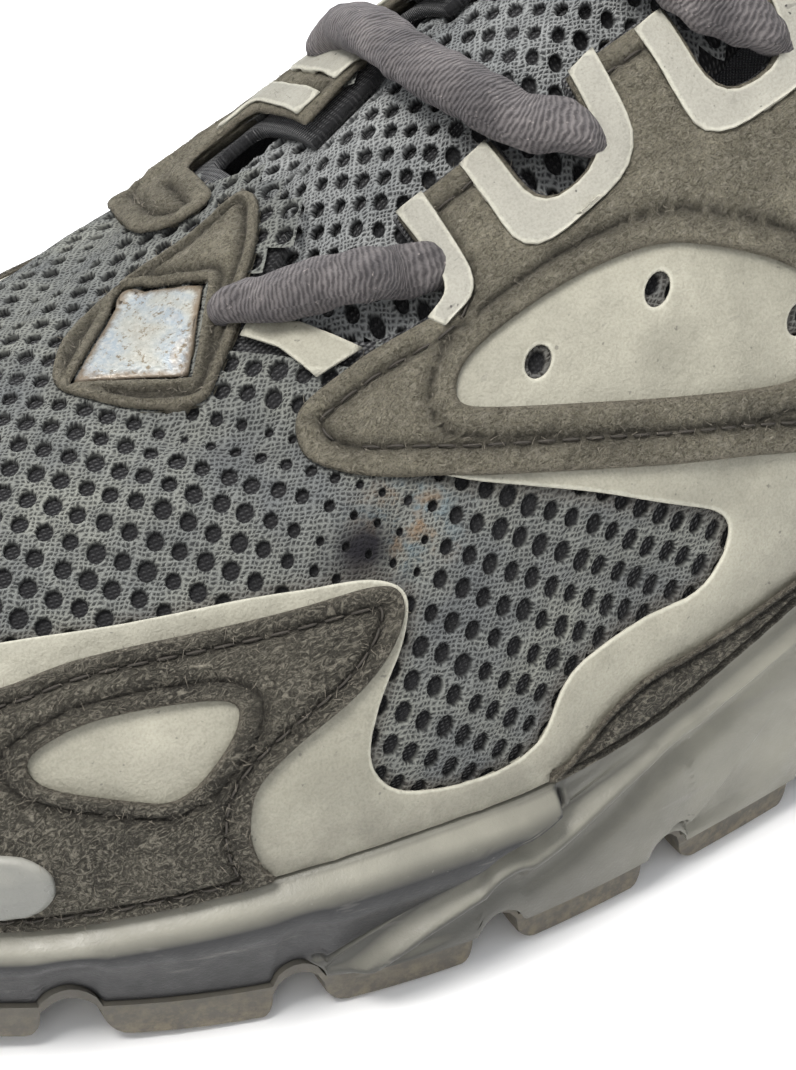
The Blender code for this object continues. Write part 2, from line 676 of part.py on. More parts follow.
def sole_rows():
    """Stations of the sole's rows, each with its rise in the gaps and whether a lug lies there."""
    rows = [(0.0, 0.0, 0)]
    edges = lug_edges()
    draft = LUG_DRAFT / LENGTH
    for i, (front, back) in enumerate(edges):
        parts = 4 if front < TOE_FAN or back > HEEL_FAN else 2
        rows += [(front + (back - front) * part / parts, 0.0, 1) for part in range(parts + 1)]
        if i + 1 == len(edges):
            continue
        rise = ease(front, 0.06, 0.12)
        rows += [(back + draft, rise, 0), (edges[i + 1][0] - draft, rise, 0)]
    rows.append((1.0, 0.0, 0))
    return rows


def sole_base(u):
    """The seam between outsole and midsole, which lifts between the lugs."""
    rows = sole_rows()
    rise = np.interp(np.abs(wrapped(u)), [row[0] for row in rows], [row[1] for row in rows])
    return ground_height(u) + LUG_HEIGHT + PLATE + rise * NOTCH_RISE


def ladder_faces(columns, rows):
    """Quads of a grid of places stored row by row."""
    faces = []
    for row in range(rows - 1):
        for column in range(columns - 1):
            first = row * columns + column
            faces.append((first, first + 1, first + columns + 1, first + columns))
    return faces


def across(stations, shares, inset, heights):
    """Places on straight lines from the lateral to the medial edge, and heights for each."""
    places = []
    for station, row in zip(stations, heights):
        ends, _ = plan_point([station, -station], inset)
        for share, height in zip(shares, row):
            spot = ends[0] + (ends[1] - ends[0]) * (share + 1) / 2
            places.append((*spot, height))
    return places


def outsole(material):
    rows = sole_rows()
    edge = LUG_DRAFT / BALL_WIDTH * 2
    shares = (-1, -LUG_INNER - edge, -LUG_INNER, LUG_INNER, LUG_INNER + edge, 1)
    podded = (1, 1, 0, 0, 1, 1)
    stations = [row[0] for row in rows]
    top = sole_base(stations) - GAP
    base = ground_height(stations)
    bottom = []
    for height, ground, row in zip(top, base, rows):
        plate = height - PLATE + GAP
        bottom.append([ground if row[2] and pod else plate for pod in podded])
    under = across(stations, shares, LUG_TUCK, bottom)
    over = across(stations, (-1, 1), SEAM_TUCK, [[height] * 2 for height in top])
    columns, count = len(shares), len(under)
    faces = [tuple(face) for face in ladder_faces(columns, len(rows))]
    for row in range(len(rows) - 1):
        low, high = row * columns, count + 2 * row
        faces.append((high, high + 2, high + 3, high + 1))
        faces.append((low, low + columns, high + 2, high))
        faces.append((low + columns - 1, high + 1, high + 3, low + 2 * columns - 1))
    return make_object("outsole", under + over, faces, material)


def blade_station(blade, share):
    low, high, full, sag = blade
    return low + (high - low) * np.minimum(np.asarray(share) / full, 1) ** sag


def blade_relief(u, share):
    """Depth of the sole's side below its full outline: a groove under each blade's edge."""
    along = np.abs(wrapped(u))
    depth = np.zeros(np.broadcast(along, share).shape)
    for blade in BLADES:
        behind = (along - blade_station(blade, share)) * LENGTH / BLADE_RUN
        depth = np.maximum(depth, ease(behind, -0.075, 0.04) * (1 - ease(behind, 0.19, 1.0)))
    return depth * BLADE_DEPTH * ease(share, 0.0, 0.06) * ease(1 - share, 0.0, 0.05)


def sole_side(u, share):
    """Places on the outside of the midsole; share runs from its bottom edge to its rim."""
    low, high = sole_base(u), rim_height(u)
    tuck = SEAM_TUCK + RIM_ROUND * ease(share, 0.82, 1.0) - SIDE_BELLY * np.sin(math.pi * share)
    spot, _ = plan_point(u, tuck + blade_relief(u, share))
    return np.column_stack([spot, low + (high - low) * share])


def wall_stations():
    """Stations shared by the sole's rim, the cup and the foot of the upper."""
    toe = np.linspace(0, TOE_FAN, 8)
    heel = np.linspace(HEEL_FAN, 1, 8)
    middle = np.linspace(TOE_FAN, HEEL_FAN, 24)
    ends = [blade[1] + shift for blade in BLADES for shift in BLADE_EDGE]
    kept = [float(s) for s in (*toe[:-1], *middle, *heel[1:])]
    kept = [s for s in kept if min(abs(s - end) for end in ends) > 0.008 or s in (0.0, 1.0)]
    return sorted(kept + ends)


def blade_chains():
    """The two edges of each groove on the lateral side, as (station, share) lines."""
    rows = [row[0] for row in sole_rows()]
    chains = []
    for blade in BLADES:
        for shift in BLADE_EDGE:
            shares = np.linspace(0, 1, 10)
            chain = [(float(u), float(t)) for u, t in zip(blade_station(blade, shares) + shift, shares)]
            nearest = min(rows, key=lambda row: abs(row - chain[0][0]))
            if abs(nearest - chain[0][0]) < 0.006:
                chain[0] = (nearest, 0.0)
            chains.append(chain)
    return chains


def midsole(material):
    chains = blade_chains()
    bottom = sorted({row[0] for row in sole_rows()} | {chain[0][0] for chain in chains})
    top = wall_stations()
    chains += [[(-u, share) for u, share in chain] for chain in chains]
    metric = np.array([LENGTH, WALL_CHART])
    levels = (0.25, 0.5, 0.75, 0.9)
    loop = [(-s, 0.0) for s in reversed(bottom)] + [(s, 0.0) for s in bottom[1:]]
    loop += [(1.0, level) for level in levels]
    loop += [(s, 1.0) for s in reversed(top)] + [(-s, 1.0) for s in top[1:]]
    loop += [(-1.0, level) for level in reversed(levels)]
    spots = []
    for row, share in enumerate((0.22, 0.55, 0.84)):
        for i in range(30):
            u = (i + 0.5 * (row % 2) + 0.3) / 30.5
            near = [abs(u - blade_station(blade, share)) for blade in BLADES]
            if min(near) > 0.009:
                spots += [(u, share), (-u, share)]
    loop, spots = np.array(loop) * metric, np.array(spots) * metric
    chains = [np.array(chain) * metric for chain in chains]
    found, faces = triangulated([loop], chains, spots)
    found = found / metric
    side = sole_side(found[:, 0], found[:, 1])
    places = [tuple(place) for place in side]
    faces = [tuple(face) for face in faces]
    first = len(places)
    for u in bottom:
        places += [tuple(place) for place in sole_side(np.array([u, -u]), np.zeros(2))]
    for i in range(len(bottom) - 1):
        a = first + 2 * i
        faces.append((a, a + 1, a + 3, a + 2))
    first = len(places)
    for u in top:
        pair = np.array([u, -u])
        rim = sole_side(pair, np.ones(2))
        lip, _ = plan_point(pair, RIM_LIP - GAP)
        floor = rim[:, 2] - cup_depth(pair) - GAP
        places += [tuple(place) for place in rim]
        places += [(*spot, height) for spot, height in zip(lip, rim[:, 2])]
        places += [(*spot, height) for spot, height in zip(lip, floor)]
    for i in range(len(top) - 1):
        a, b = first + 6 * i, first + 6 * (i + 1)
        faces += [(a, b, b + 2, a + 2), (a + 2, b + 2, b + 4, a + 4), (a + 4, b + 4, b + 5, a + 5)]
        faces += [(a + 5, b + 5, b + 3, a + 3), (a + 3, b + 3, b + 1, a + 1)]
    return make_object("midsole", places, faces, material)


def insole(material):
    """A flat bed inside the upper, a little clear of its wall and of the cup's floor."""
    stations = np.array(wall_stations())
    inset = RIM_LIP + WALL + INSOLE_PLAY
    ends, _ = plan_point(stations, inset)
    floor = [rim_height(sign * stations) - cup_depth(stations) for sign in (1, -1)]
    under = [[low + GAP, high + GAP] for low, high in zip(*floor)]
    over = [[low + INSOLE, high + INSOLE] for low, high in under]
    places = across(stations, (-1, 1), inset, under) + across(stations, (-1, 1), inset, over)
    count = 2 * len(stations)
    faces = [face[::-1] for face in ladder_faces(2, len(stations))]
    faces += [tuple(i + count for i in face[::-1]) for face in faces]
    for row in range(len(stations) - 1):
        a = 2 * row
        faces.append((a, a + count, a + 2 + count, a + 2))
        faces.append((a + 1, a + 3, a + 3 + count, a + 1 + count))
    return make_object("insole", places, faces, material)


# Upper


def notched_edge(notches, tab_end, side):
    """The throat's edge past a row of notches, from front to back."""
    edge = []
    for front, back, depth in notches:
        mouth = (float(table(tab_end, front)), float(table(tab_end, back)))
        edge += [(side * front, mouth[0], 0.0006), (side * (front + 0.003), depth, 0.005)]
        edge += [(side * (back - 0.002), depth - 0.008, 0.005), (side * back, mouth[1], 0.0006)]
    return edge


def lateral_throat():
    edge = [(0.331, 0.915, 0.002), (0.311, 0.872, 0.002), (0.303, 0.850, 0.001)]
    edge += [(0.336, 0.705, 0.004), (0.3665, 0.684, 0.003), (0.3635, 0.829, 0.0006)]
    edge += notched_edge(LATERAL_NOTCHES, LATERAL_TAB_END, 1)
    return edge + [(THROAT_TOP, 0.775, 0.004), (0.607, 0.880, 0.006), (0.625, 0.985, 0.006)]


def medial_throat():
    edge = notched_edge(MEDIAL_NOTCHES, MEDIAL_TAB_END, -1)
    return edge + [(-THROAT_TOP, 0.860, 0.004), (-0.607, 0.920, 0.006), (-0.625, 0.990, 0.006)]


def padding(u, v):
    """Thickness of the upper's wall: padded at the collar, thin in the cup and in front."""
    along = np.abs(u)
    pad = ease(along, 0.615, 0.70) * ease(v, 0.20, 0.50)
    edge = 1 - 0.62 * ease(v, 0.93, 1.0) * ease(along, 0.62, 0.66)
    return (WALL + (COLLAR_PAD - WALL) * pad) * edge


def upper_level(u, v):
    """The collar's outside rolls inwards along its top edge."""
    return -COLLAR_CURL * ease(v, 0.92, 1.0) * ease(np.abs(u), 0.62, 0.68)


def upper(material):
    step = MESH_STEP
    ridge = [float(s) for s in np.linspace(TOE_FAN, THROAT_FRONT, 9)]
    open_edges = []
    for side, throat in ((1, lateral_throat()), (-1, medial_throat())):
        edge = rounded([(side * THROAT_FRONT, 1.0)] + throat + [(side * 0.655, 1.0)], SIDE_METRIC)
        open_edges.append(divided(side_chart(edge), step, closed=False))
    collar = [float(s) for s in np.linspace(0.655, 1.0, 15)]
    heel = [float(v) for v in (-1, 0.0, 0.12, 0.26, 0.42, 0.58, 0.74, 0.86, 0.94, 1.0)]
    bottom = wall_stations()
    loop = [(-s, -1.0) for s in reversed(bottom)] + [(s, -1.0) for s in bottom[1:]]
    loop += [(1.0, v) for v in heel[1:]]
    loop += [(s, 1.0) for s in reversed(collar[:-1])]
    loop += [tuple(spot) for spot in from_chart(open_edges[0][-2:0:-1])]
    loop += [(s, 1.0) for s in reversed(ridge)] + [(-s, 1.0) for s in ridge]
    loop += [tuple(spot) for spot in from_chart(open_edges[1][1:-1])]
    loop += [(-s, 1.0) for s in collar] + [(-1.0, v) for v in reversed(heel[1:-1])]
    chart = [tuple(spot) for spot in side_chart(loop)]
    rows = [(s, v) for v in (0.945, 0.86) for s in collar[1:-1]]
    rows += [(s, 0.0) for s in bottom[1:-1]]
    rows += [(-s, v) for s, v in rows] + [(0.0, 0.0)]
    extra = [tuple(spot) for spot in side_chart(rows)]
    spots = grid_spots([chart], step, lambda found: side_place(found, 0.0))
    far = [min(math.dist(spot, other) for other in extra) > 0.55 * step for spot in spots]
    spots = [spot for spot, keep in zip(spots, far) if keep] + extra
    found, faces = triangulated([chart], [], spots)
    found = from_chart(found)
    level = upper_level(found[:, 0], found[:, 1])
    places = raised(found[:, 0], found[:, 1], level)
    places[found[:, 1] > 1 - 1e-6] = raised_edge(found[found[:, 1] > 1 - 1e-6])
    piece = make_object("upper", places, faces, material)
    group = piece.vertex_groups.new(name="padding")
    tree = {tuple(np.round(place, 6)): spot for place, spot in zip(places, found)}
    for vert in piece.data.vertices:
        u, v = tree.get(tuple(np.round(vert.co, 6)), (0.3, 0.5))
        group.add([vert.index], float(padding(u, v)) / COLLAR_PAD, "REPLACE")
    thicken(piece, COLLAR_PAD, "padding")
    return piece


def raised_edge(found):
    """Places on the ridge and the collar, alike from both sides so that the halves join."""
    u = np.abs(found[:, 0])
    level = upper_level(u, found[:, 1])
    collar = u > 0.6
    sides = raised(found[:, 0], found[:, 1], level)
    both = np.where(collar[:, None], sides, upper_point(u, found[:, 1]))
    seam = np.abs(u - 1) < 1e-9
    both[seam] = raised(np.ones(seam.sum()), found[seam, 1], level[seam])
    return both


# Overlays


def offset_notch(notch, tab_end, side, distance):
    """The outline of a notch moved outwards by this distance, from its front to its back."""
    front, back, depth = notch
    du, dv = distance / LENGTH, distance / RIB_CHART
    mouth = (float(table(tab_end, front)), float(table(tab_end, back)))
    edge = [(front - du, mouth[0] - 0.012), (front + 0.003 - du, depth - dv, 0.0055)]
    edge += [(back - 0.002 + du, depth - 0.008 - dv, 0.0055), (back + du, mouth[1] - 0.012)]
    return [(side * corner[0],) + tuple(corner[1:]) for corner in edge]


def eyestay(name, side, front, notches, tab_end, material):
    """The suede saddle along the throat with its strip down to the sole, and its cut-out."""
    loop = list(front)
    for notch in notches:
        loop += offset_notch(notch, tab_end, side, EDGE_PLAY)
    loop += [(side * u, v, r) for u, v, r in SADDLE_BACK]
    loop += [(side * u, v, r) for u, v, r in SADDLE_FOOT]
    window = [(side * u, v, 0.006) for u, v in SADDLE_WINDOW]
    if side < 0:
        loop.reverse()
        window.reverse()
    return patch(name, [loop, window], SUEDE_LEVEL, SUEDE, material)


def guide(name, notch, tab_end, side, material):
    """A narrow strip around a lace notch."""
    inner = offset_notch(notch, tab_end, side, 2 * EDGE_PLAY)
    outer = offset_notch(notch, tab_end, side, 2 * EDGE_PLAY + GUIDE_STRIP)
    return patch(name, [inner + outer[::-1]], GUIDE_LEVEL, GUIDE_THICKNESS, material)


def side_overlay(material):
    """The thin grey layer that wraps the toe and both sides, with a bay for the mesh."""
    outline = [(u, v, 0.004) for u, v in OVERLAY_TOP]
    loop = [(0.0, 0.56)] + outline + [(0.70, 0.50, 0.01), (0.715, OVERLAY_FOOT, 0.004)]
    loop += [(u, OVERLAY_FOOT) for u in (0.60, 0.50, 0.40, 0.30, 0.20, 0.12, 0.06)]
    loop += [(0.0, OVERLAY_FOOT)]
    other = [(-corner[0],) + tuple(corner[1:]) for corner in loop[1:-1]]
    holes = []
    for side in (1, -1):
        for u, v in VENTS:
            turns = np.radians(np.arange(8) * 45 + 22.5)
            reach = np.column_stack([np.cos(turns), np.sin(turns)]) * VENT_DIAMETER / 2
            holes.append([tuple(spot) for spot in (side * u, v) + reach / SIDE_METRIC])
    return patch("side_overlay", [loop + other[::-1]] + holes, OVERLAY_LEVEL, OVERLAY, material)


def toe_overlay(material):
    loop = [(0.0, 0.475)] + [(u, v, 0.004) for u, v in TOE_CAP]
    loop += [(u, OVERLAY_FOOT) for u in (0.20, 0.16, 0.12, 0.08, 0.04)] + [(0.0, OVERLAY_FOOT)]
    other = [(-corner[0],) + tuple(corner[1:]) for corner in loop[1:-1]]
    eye = [(u, v, 0.005) for u, v in TOE_EYE]
    return patch("toe_overlay", [loop + other[::-1], eye, mirrored(eye)], SUEDE_LEVEL, SUEDE, material)


def heel_overlay(material):
    loop = [(u, v, 0.010) for u, v in HEEL_COUNTER]
    loop += [(2 - u, v, 0.010) for u, v in reversed(HEEL_COUNTER)]
    loop += [(2 - 0.605, OVERLAY_FOOT)]
    loop += [(u, OVERLAY_FOOT) for u in np.linspace(2 - 0.605, 0.605, 15)[1:]]
    return patch("heel_overlay", [loop[::-1]], SUEDE_LEVEL, SUEDE, material)


# Tongue and laces


def strip_place(along, g, level):
    """Places across the ridge: g is the share of the rib away from it, positive lateral."""
    u = np.where(g < 0, -1.0, 1.0) * along
    return raised(u, 1 - np.abs(g), level)


def tongue_width(along):
    return np.interp(along, [row[0] for row in TONGUE_HALF], [row[1] for row in TONGUE_HALF])


def tongue(material):
    """A padded strip under the throat whose top stands up clear of the collar."""
    columns = np.array(TONGUE_COLUMNS)
    rows = [0.300, 0.335, 0.360, 0.400, 0.440, 0.480, 0.525, 0.545, 0.560]
    places = []
    for along in rows:
        g = TONGUE_CENTRE + tongue_width(along) * columns / RIB_CHART
        bulge = float(ease(along, 0.335, 0.375))
        reach = (0.56, 0.74) if along < 0.55 else (0.0, 0.5)
        crown = ease(1 - np.abs(columns), *reach)
        level = TONGUE_LOW + (TONGUE_HIGH - TONGUE_LOW) * crown * bulge
        places += [tuple(place) for place in strip_place(np.full(len(g), along), g, level)]
    last = np.array(places[-len(columns):])
    middle = last[[len(columns) // 2 - 1, len(columns) // 2]].mean(axis=0)
    for back, up, widen in TONGUE_PATH:
        rise = np.array([back, 0, up]) * TONGUE_RISE
        spread = (last - middle) * (1.0, widen, 1.0)
        places += [tuple(place) for place in middle + rise + spread]
    faces = ladder_faces(len(columns), len(places) // len(columns))
    piece = make_object("tongue", places, faces, material)
    thicken(piece, TONGUE_PAD)
    return piece


def lace_route(outer, inner):
    """From low in the medial notch over the tongue to low in the lateral notch."""
    start = ((inner[0] + inner[1]) / 2, -(1 - inner[2]) + 0.035)
    end = ((outer[0] + outer[1]) / 2, 1 - outer[2] - 0.035)
    route = []
    for t in (0.0, 0.22, 0.42, 0.58, 0.78, 1.0):
        high = ease(1 - abs(2 * t - 1), 0.0, 0.75)
        level = LACE_LOW + (LACE_HIGH - LACE_LOW) * float(high)
        route.append((start[0] + (end[0] - start[0]) * t, start[1] + (end[1] - start[1]) * t, level))
    return route


def lace(name, route, material):
    """A round cord along stations (along, g, level) across the throat."""
    route = np.array(route, float)
    knots = np.linspace(0, 1, len(route))
    fine = np.linspace(0, 1, 2 * len(route) - 1)
    along, g, level = table(np.column_stack([knots, route]), fine).T
    curve = bpy.data.curves.new(name, "CURVE")
    curve.dimensions = "3D"
    curve.bevel_depth = LACE_DIAMETER / 2
    curve.bevel_resolution = 1
    curve.use_fill_caps = True
    spline = curve.splines.new("POLY")
    spline.points.add(len(fine) - 1)
    for point, place in zip(spline.points, strip_place(along, g, level)):
        point.co = (*place, 1)
    curve.materials.append(material)
    cord = bpy.data.objects.new(name, curve)
    bpy.data.collections[OBJECT_NAME].objects.link(cord)
    return cord


def main():
    for old in list(bpy.data.objects):
        bpy.data.objects.remove(old)
    collection = bpy.data.collections.new(OBJECT_NAME)
    bpy.context.scene.collection.children.link(collection)
    rubber = make_material("outsole rubber", (0.030, 0.030, 0.028), 0.55)
    foam = make_material("midsole rubber", (0.050, 0.052, 0.048), 0.45)
    mesh = make_material("knit mesh", (0.060, 0.065, 0.070), 0.9)
    lining = make_material("lining", (0.040, 0.040, 0.042), 0.9)
    grey = make_material("grey synthetic", (0.36, 0.36, 0.33), 0.6)
    suede = make_material("suede", (0.14, 0.13, 0.11), 0.95)
    webbing = make_material("reflective strip", (0.55, 0.55, 0.52), 0.5)
    film = make_material("badge film", (0.60, 0.62, 0.60), 0.3, 0.4)
    cord = make_material("lace cord", (0.10, 0.09, 0.10), 0.9)
    padding_knit = make_material("tongue knit", (0.07, 0.075, 0.08), 0.9)
    outsole(rubber)
    midsole(foam)
    insole(lining)
    upper(mesh)
    tongue(padding_knit)
    side_overlay(grey)
    patch("throat_band", [THROAT_BAND], OVERLAY_LEVEL, OVERLAY, grey)
    toe_overlay(suede)
    heel_overlay(suede)
    eyestay("eyestay_lateral", 1, SADDLE_FRONT, LATERAL_NOTCHES, LATERAL_TAB_END, suede)
    eyestay("eyestay_medial", -1, SADDLE_FRONT_MEDIAL, MEDIAL_NOTCHES[1:], MEDIAL_TAB_END, suede)
    for side, label in ((1, "lateral"), (-1, "medial")):
        strip = [(side * u, v, 0.003) for u, v in FOOT_STRIP]
        patch("foot_strip_" + label, [strip[::side]], SUEDE_LEVEL, SUEDE, suede)
    patch("badge_frame", [BADGE_FRAME, BADGE_HOLE], FRAME_LEVEL, SUEDE, suede, top_chart, top_place)
    patch("badge", [BADGE], FRAME_LEVEL, SUEDE, film, top_chart, top_place)
    patch("toe_button", [TOE_BUTTON], BUTTON_LEVEL, BUTTON_HEIGHT, foam)
    for i, notch in enumerate(LATERAL_NOTCHES):
        guide(f"lace_guide_lateral_{i + 2}", notch, LATERAL_TAB_END, 1, webbing)
    for i, notch in enumerate(MEDIAL_NOTCHES[1:]):
        guide(f"lace_guide_medial_{i + 2}", notch, MEDIAL_TAB_END, -1, webbing)
    patch("lace_guide_lateral_1", [FIRST_GUIDE], GUIDE_LEVEL, GUIDE_THICKNESS, webbing)
    patch("lace_guide_medial_1", [FIRST_GUIDE_MEDIAL], GUIDE_LEVEL, GUIDE_THICKNESS, webbing)
    lace("lace_1", LACE_FRONT, cord)
    for i, (outer, inner) in enumerate(zip(LATERAL_NOTCHES, MEDIAL_NOTCHES[1:])):
        lace(f"lace_{i + 2}", lace_route(outer, inner), cord)


main()
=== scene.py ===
"""The looks of a worn low running shoe for the left foot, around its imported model.

Toe towards -X, outer (lateral) side towards -Y, floor at Z = 0. A place on the upper is a station
u (distance from the toe as a share of LENGTH, positive on the lateral side, negative on the
medial side) and a rise v (0 at the sole's rim, 1 at the ridge or the collar, -1 down in the cup).
"""

import math

import bmesh
import bpy
import numpy as np
from mathutils import Matrix, Vector
from mathutils.geometry import delaunay_2d_cdt


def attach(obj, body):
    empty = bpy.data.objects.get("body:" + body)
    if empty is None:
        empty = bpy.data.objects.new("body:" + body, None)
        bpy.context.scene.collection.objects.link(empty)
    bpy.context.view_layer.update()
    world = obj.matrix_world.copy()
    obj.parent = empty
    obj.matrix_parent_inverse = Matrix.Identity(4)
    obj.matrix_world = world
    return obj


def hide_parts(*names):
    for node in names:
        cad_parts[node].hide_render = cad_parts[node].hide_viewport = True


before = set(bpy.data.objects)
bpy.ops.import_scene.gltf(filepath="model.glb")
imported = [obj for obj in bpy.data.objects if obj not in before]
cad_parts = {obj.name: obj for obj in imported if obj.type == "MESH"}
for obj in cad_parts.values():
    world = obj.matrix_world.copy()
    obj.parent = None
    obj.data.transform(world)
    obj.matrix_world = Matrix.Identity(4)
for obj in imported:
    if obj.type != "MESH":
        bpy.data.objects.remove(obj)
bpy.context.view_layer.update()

# Driving sizes in metres
LENGTH = 0.300
BALL_WIDTH = 0.108
INSTEP_HEIGHT = 0.112
HEEL_HEIGHT = 0.108
SOLE_HEIGHT = 0.045
TOE_SPRING = 0.012
HEEL_BEVEL = 0.004
LUG_HEIGHT = 0.0045
PLATE = 0.0015
NOTCH_RISE = 0.003
SEAM_TUCK = 0.0010
LUG_TUCK = 0.0014
RIM_ROUND = 0.0012
SIDE_BELLY = 0.0010
RIM_LIP = 0.0033
WALL = 0.0024
COLLAR_PAD = 0.0080
COLLAR_CURL = 0.0025
GUIDE_STRIP = 0.0034
TONGUE_PAD = 0.0045
TONGUE_RISE = 0.036
LACE_DIAMETER = 0.0056
VENT_DIAMETER = 0.0032

# Stations where the ribs of the last fan out around the toe and the heel
TOE_FAN = 0.16
HEEL_FAN = 0.86
TOE_AXIS = 0.05
HEEL_AXIS = 0.00
SPRING_START = 0.25
BEVEL_START = 0.95
RIDGE_SLOPE = 0.18
RIB_LEAN = 0.0015
RIB_CHART = 0.095
# Stations where the lugs start, their length, and where the pod rows end across the sole
LUG_FIRST = 0.0150
LUG_PITCH = 0.0805
LUG_SHARE = 0.0605
LUG_COUNT = 12
LUG_INNER = 0.30
LUG_DRAFT = 0.0022

# The sole seen from above: distance from the toe as a share of LENGTH, then the offset from the
# centre line as a share of BALL_WIDTH, lateral side negative
SOLE_OUTLINE = (
    (1.000, -0.010), (0.988, -0.170), (0.950, -0.290), (0.880, -0.375), (0.790, -0.398),
    (0.690, -0.398), (0.590, -0.428), (0.490, -0.468), (0.410, -0.492), (0.330, -0.498),
    (0.240, -0.458), (0.150, -0.365), (0.085, -0.265), (0.033, -0.130), (0.003, 0.060),
    (0.022, 0.220), (0.075, 0.345), (0.160, 0.445), (0.270, 0.497), (0.370, 0.470),
    (0.470, 0.400), (0.570, 0.352), (0.670, 0.348), (0.780, 0.370), (0.880, 0.358),
    (0.950, 0.282), (0.988, 0.160),
)
# Station, then the rim of the sole on the lateral and the medial side, and the depth of the cup
# behind it, as shares of SOLE_HEIGHT
RIM = (
    (0.00, 0.633, 0.633, 0.115), (0.08, 0.522, 0.533, 0.115), (0.16, 0.433, 0.478, 0.115),
    (0.20, 0.458, 0.478, 0.115), (0.25, 0.493, 0.493, 0.115), (0.30, 0.524, 0.511, 0.120),
    (0.35, 0.533, 0.533, 0.125), (0.40, 0.587, 0.573, 0.140), (0.44, 0.680, 0.644, 0.155),
    (0.48, 0.778, 0.722, 0.170), (0.56, 0.878, 0.822, 0.200), (0.66, 0.889, 0.878, 0.235),
    (0.78, 0.922, 0.922, 0.265), (0.90, 0.967, 0.967, 0.285), (1.00, 1.000, 1.000, 0.290),
)
# Station, then the top of each rib: lateral and medial offset as shares of BALL_WIDTH, height as
# shares of INSTEP_HEIGHT and of HEEL_HEIGHT, tilt in degrees, and the fullness of the rib low and
# high on the lateral and on the medial side
RIBS = (
    (0.16, 0.050, 0.050, 0.522, 0.000, 0, 0.50, 0.50, 0.56, 0.56),
    (0.22, 0.055, 0.055, 0.545, 0.000, 0, 0.46, 0.50, 0.55, 0.58),
    (0.28, 0.060, 0.060, 0.580, 0.000, 0, 0.43, 0.50, 0.54, 0.62),
    (0.34, 0.060, 0.060, 0.660, 0.000, 0, 0.42, 0.50, 0.52, 0.64),
    (0.41, 0.060, 0.060, 0.775, 0.000, 0, 0.42, 0.50, 0.50, 0.64),
    (0.48, 0.060, 0.060, 0.885, 0.000, 0, 0.42, 0.48, 0.48, 0.60),
    (0.56, 0.000, 0.110, 0.985, 0.000, 14, 0.42, 0.46, 0.45, 0.52),
    (0.61, -0.110, 0.200, 0.500, 0.490, 40, 0.40, 0.42, 0.42, 0.44),
    (0.66, -0.230, 0.270, 0.000, 0.920, 64, 0.38, 0.40, 0.40, 0.40),
    (0.71, -0.290, 0.300, 0.000, 0.850, 78, 0.36, 0.38, 0.38, 0.38),
    (0.78, -0.300, 0.295, 0.000, 0.820, 84, 0.34, 0.36, 0.36, 0.36),
    (0.86, -0.280, 0.275, 0.000, 0.885, 86, 0.34, 0.34, 0.36, 0.36),
    (0.95, -0.305, 0.305, 0.000, 0.990, 86, 0.34, 0.34, 0.36, 0.36),
    (1.00, -0.315, 0.315, 0.000, 1.000, 86, 0.34, 0.34, 0.36, 0.36),
)

# Throat: its front end on the ridge, and each notch as front, back and depth (u, u, v)
THROAT_FRONT = 0.338
THROAT_TOP = 0.598
LATERAL_NOTCHES = ((0.4060, 0.4355, 0.692), (0.4790, 0.5095, 0.640), (0.5450, 0.5755, 0.610))
MEDIAL_NOTCHES = (
    (0.3340, 0.3605, 0.760), (0.3960, 0.4260, 0.730), (0.4700, 0.5000, 0.680),
    (0.5380, 0.5680, 0.640),
)
LATERAL_TAB_END = ((0.36, 0.829), (0.42, 0.812), (0.49, 0.780), (0.56, 0.765), (0.60, 0.775))
MEDIAL_TAB_END = (
    (0.33, 0.985), (0.38, 0.945), (0.43, 0.915), (0.50, 0.885), (0.56, 0.865), (0.60, 0.860),
)

# Diagonal blades on the sole's side: the station at the bottom and at the rim of each groove,
# and the share of the height over which it runs across, and how much it sags on the way
BLADES = (
    (0.252, 0.354, 0.85, 1.9), (0.406, 0.522, 1.0, 1.1), (0.560, 0.676, 1.0, 1.1),
    (0.715, 0.832, 1.0, 1.1), (0.868, 0.960, 1.0, 1.1),
)

# Outlines of the layers on the lateral side, as (u, v) corners
OVERLAY_TOP = (
    (0.08, 0.555), (0.174, 0.540), (0.214, 0.518), (0.260, 0.496), (0.301, 0.450), (0.313, 0.410),
    (0.306, 0.351), (0.290, 0.283), (0.280, 0.195), (0.287, 0.121), (0.306, 0.088), (0.330, 0.079),
    (0.348, 0.098), (0.359, 0.178), (0.373, 0.194), (0.396, 0.185), (0.424, 0.158), (0.438, 0.191),
    (0.438, 0.232), (0.391, 0.370), (0.344, 0.493), (0.326, 0.555), (0.330, 0.640), (0.372, 0.650),
    (0.420, 0.635), (0.490, 0.590), (0.570, 0.560), (0.630, 0.550),
)
VENTS = ((0.434, 0.514), (0.385, 0.548), (0.483, 0.366))
TOE_CAP = (
    (0.08, 0.470), (0.168, 0.464), (0.190, 0.483), (0.211, 0.482), (0.256, 0.464), (0.285, 0.448),
    (0.300, 0.437), (0.309, 0.420), (0.309, 0.385), (0.300, 0.345), (0.285, 0.309), (0.259, 0.267),
    (0.243, 0.227), (0.237, 0.189), (0.234, 0.119), (0.238, 0.037), (0.244, 0.015),
)
TOE_EYE = (
    (0.168, 0.350), (0.190, 0.387), (0.217, 0.384), (0.244, 0.362), (0.238, 0.306), (0.214, 0.216),
    (0.195, 0.250), (0.170, 0.296),
)
TOE_BUTTON = (
    (0.138, 0.060, 0.003), (0.157, 0.046, 0.005), (0.169, 0.085, 0.005), (0.169, 0.150, 0.005),
    (0.157, 0.192, 0.005), (0.138, 0.180, 0.003), (0.128, 0.120, 0.006),
)
FOOT_STRIP = (
    (0.345, 0.015), (0.360, 0.048), (0.374, 0.092), (0.394, 0.111), (0.423, 0.085), (0.470, 0.055),
    (0.510, 0.045), (0.523, 0.015),
)
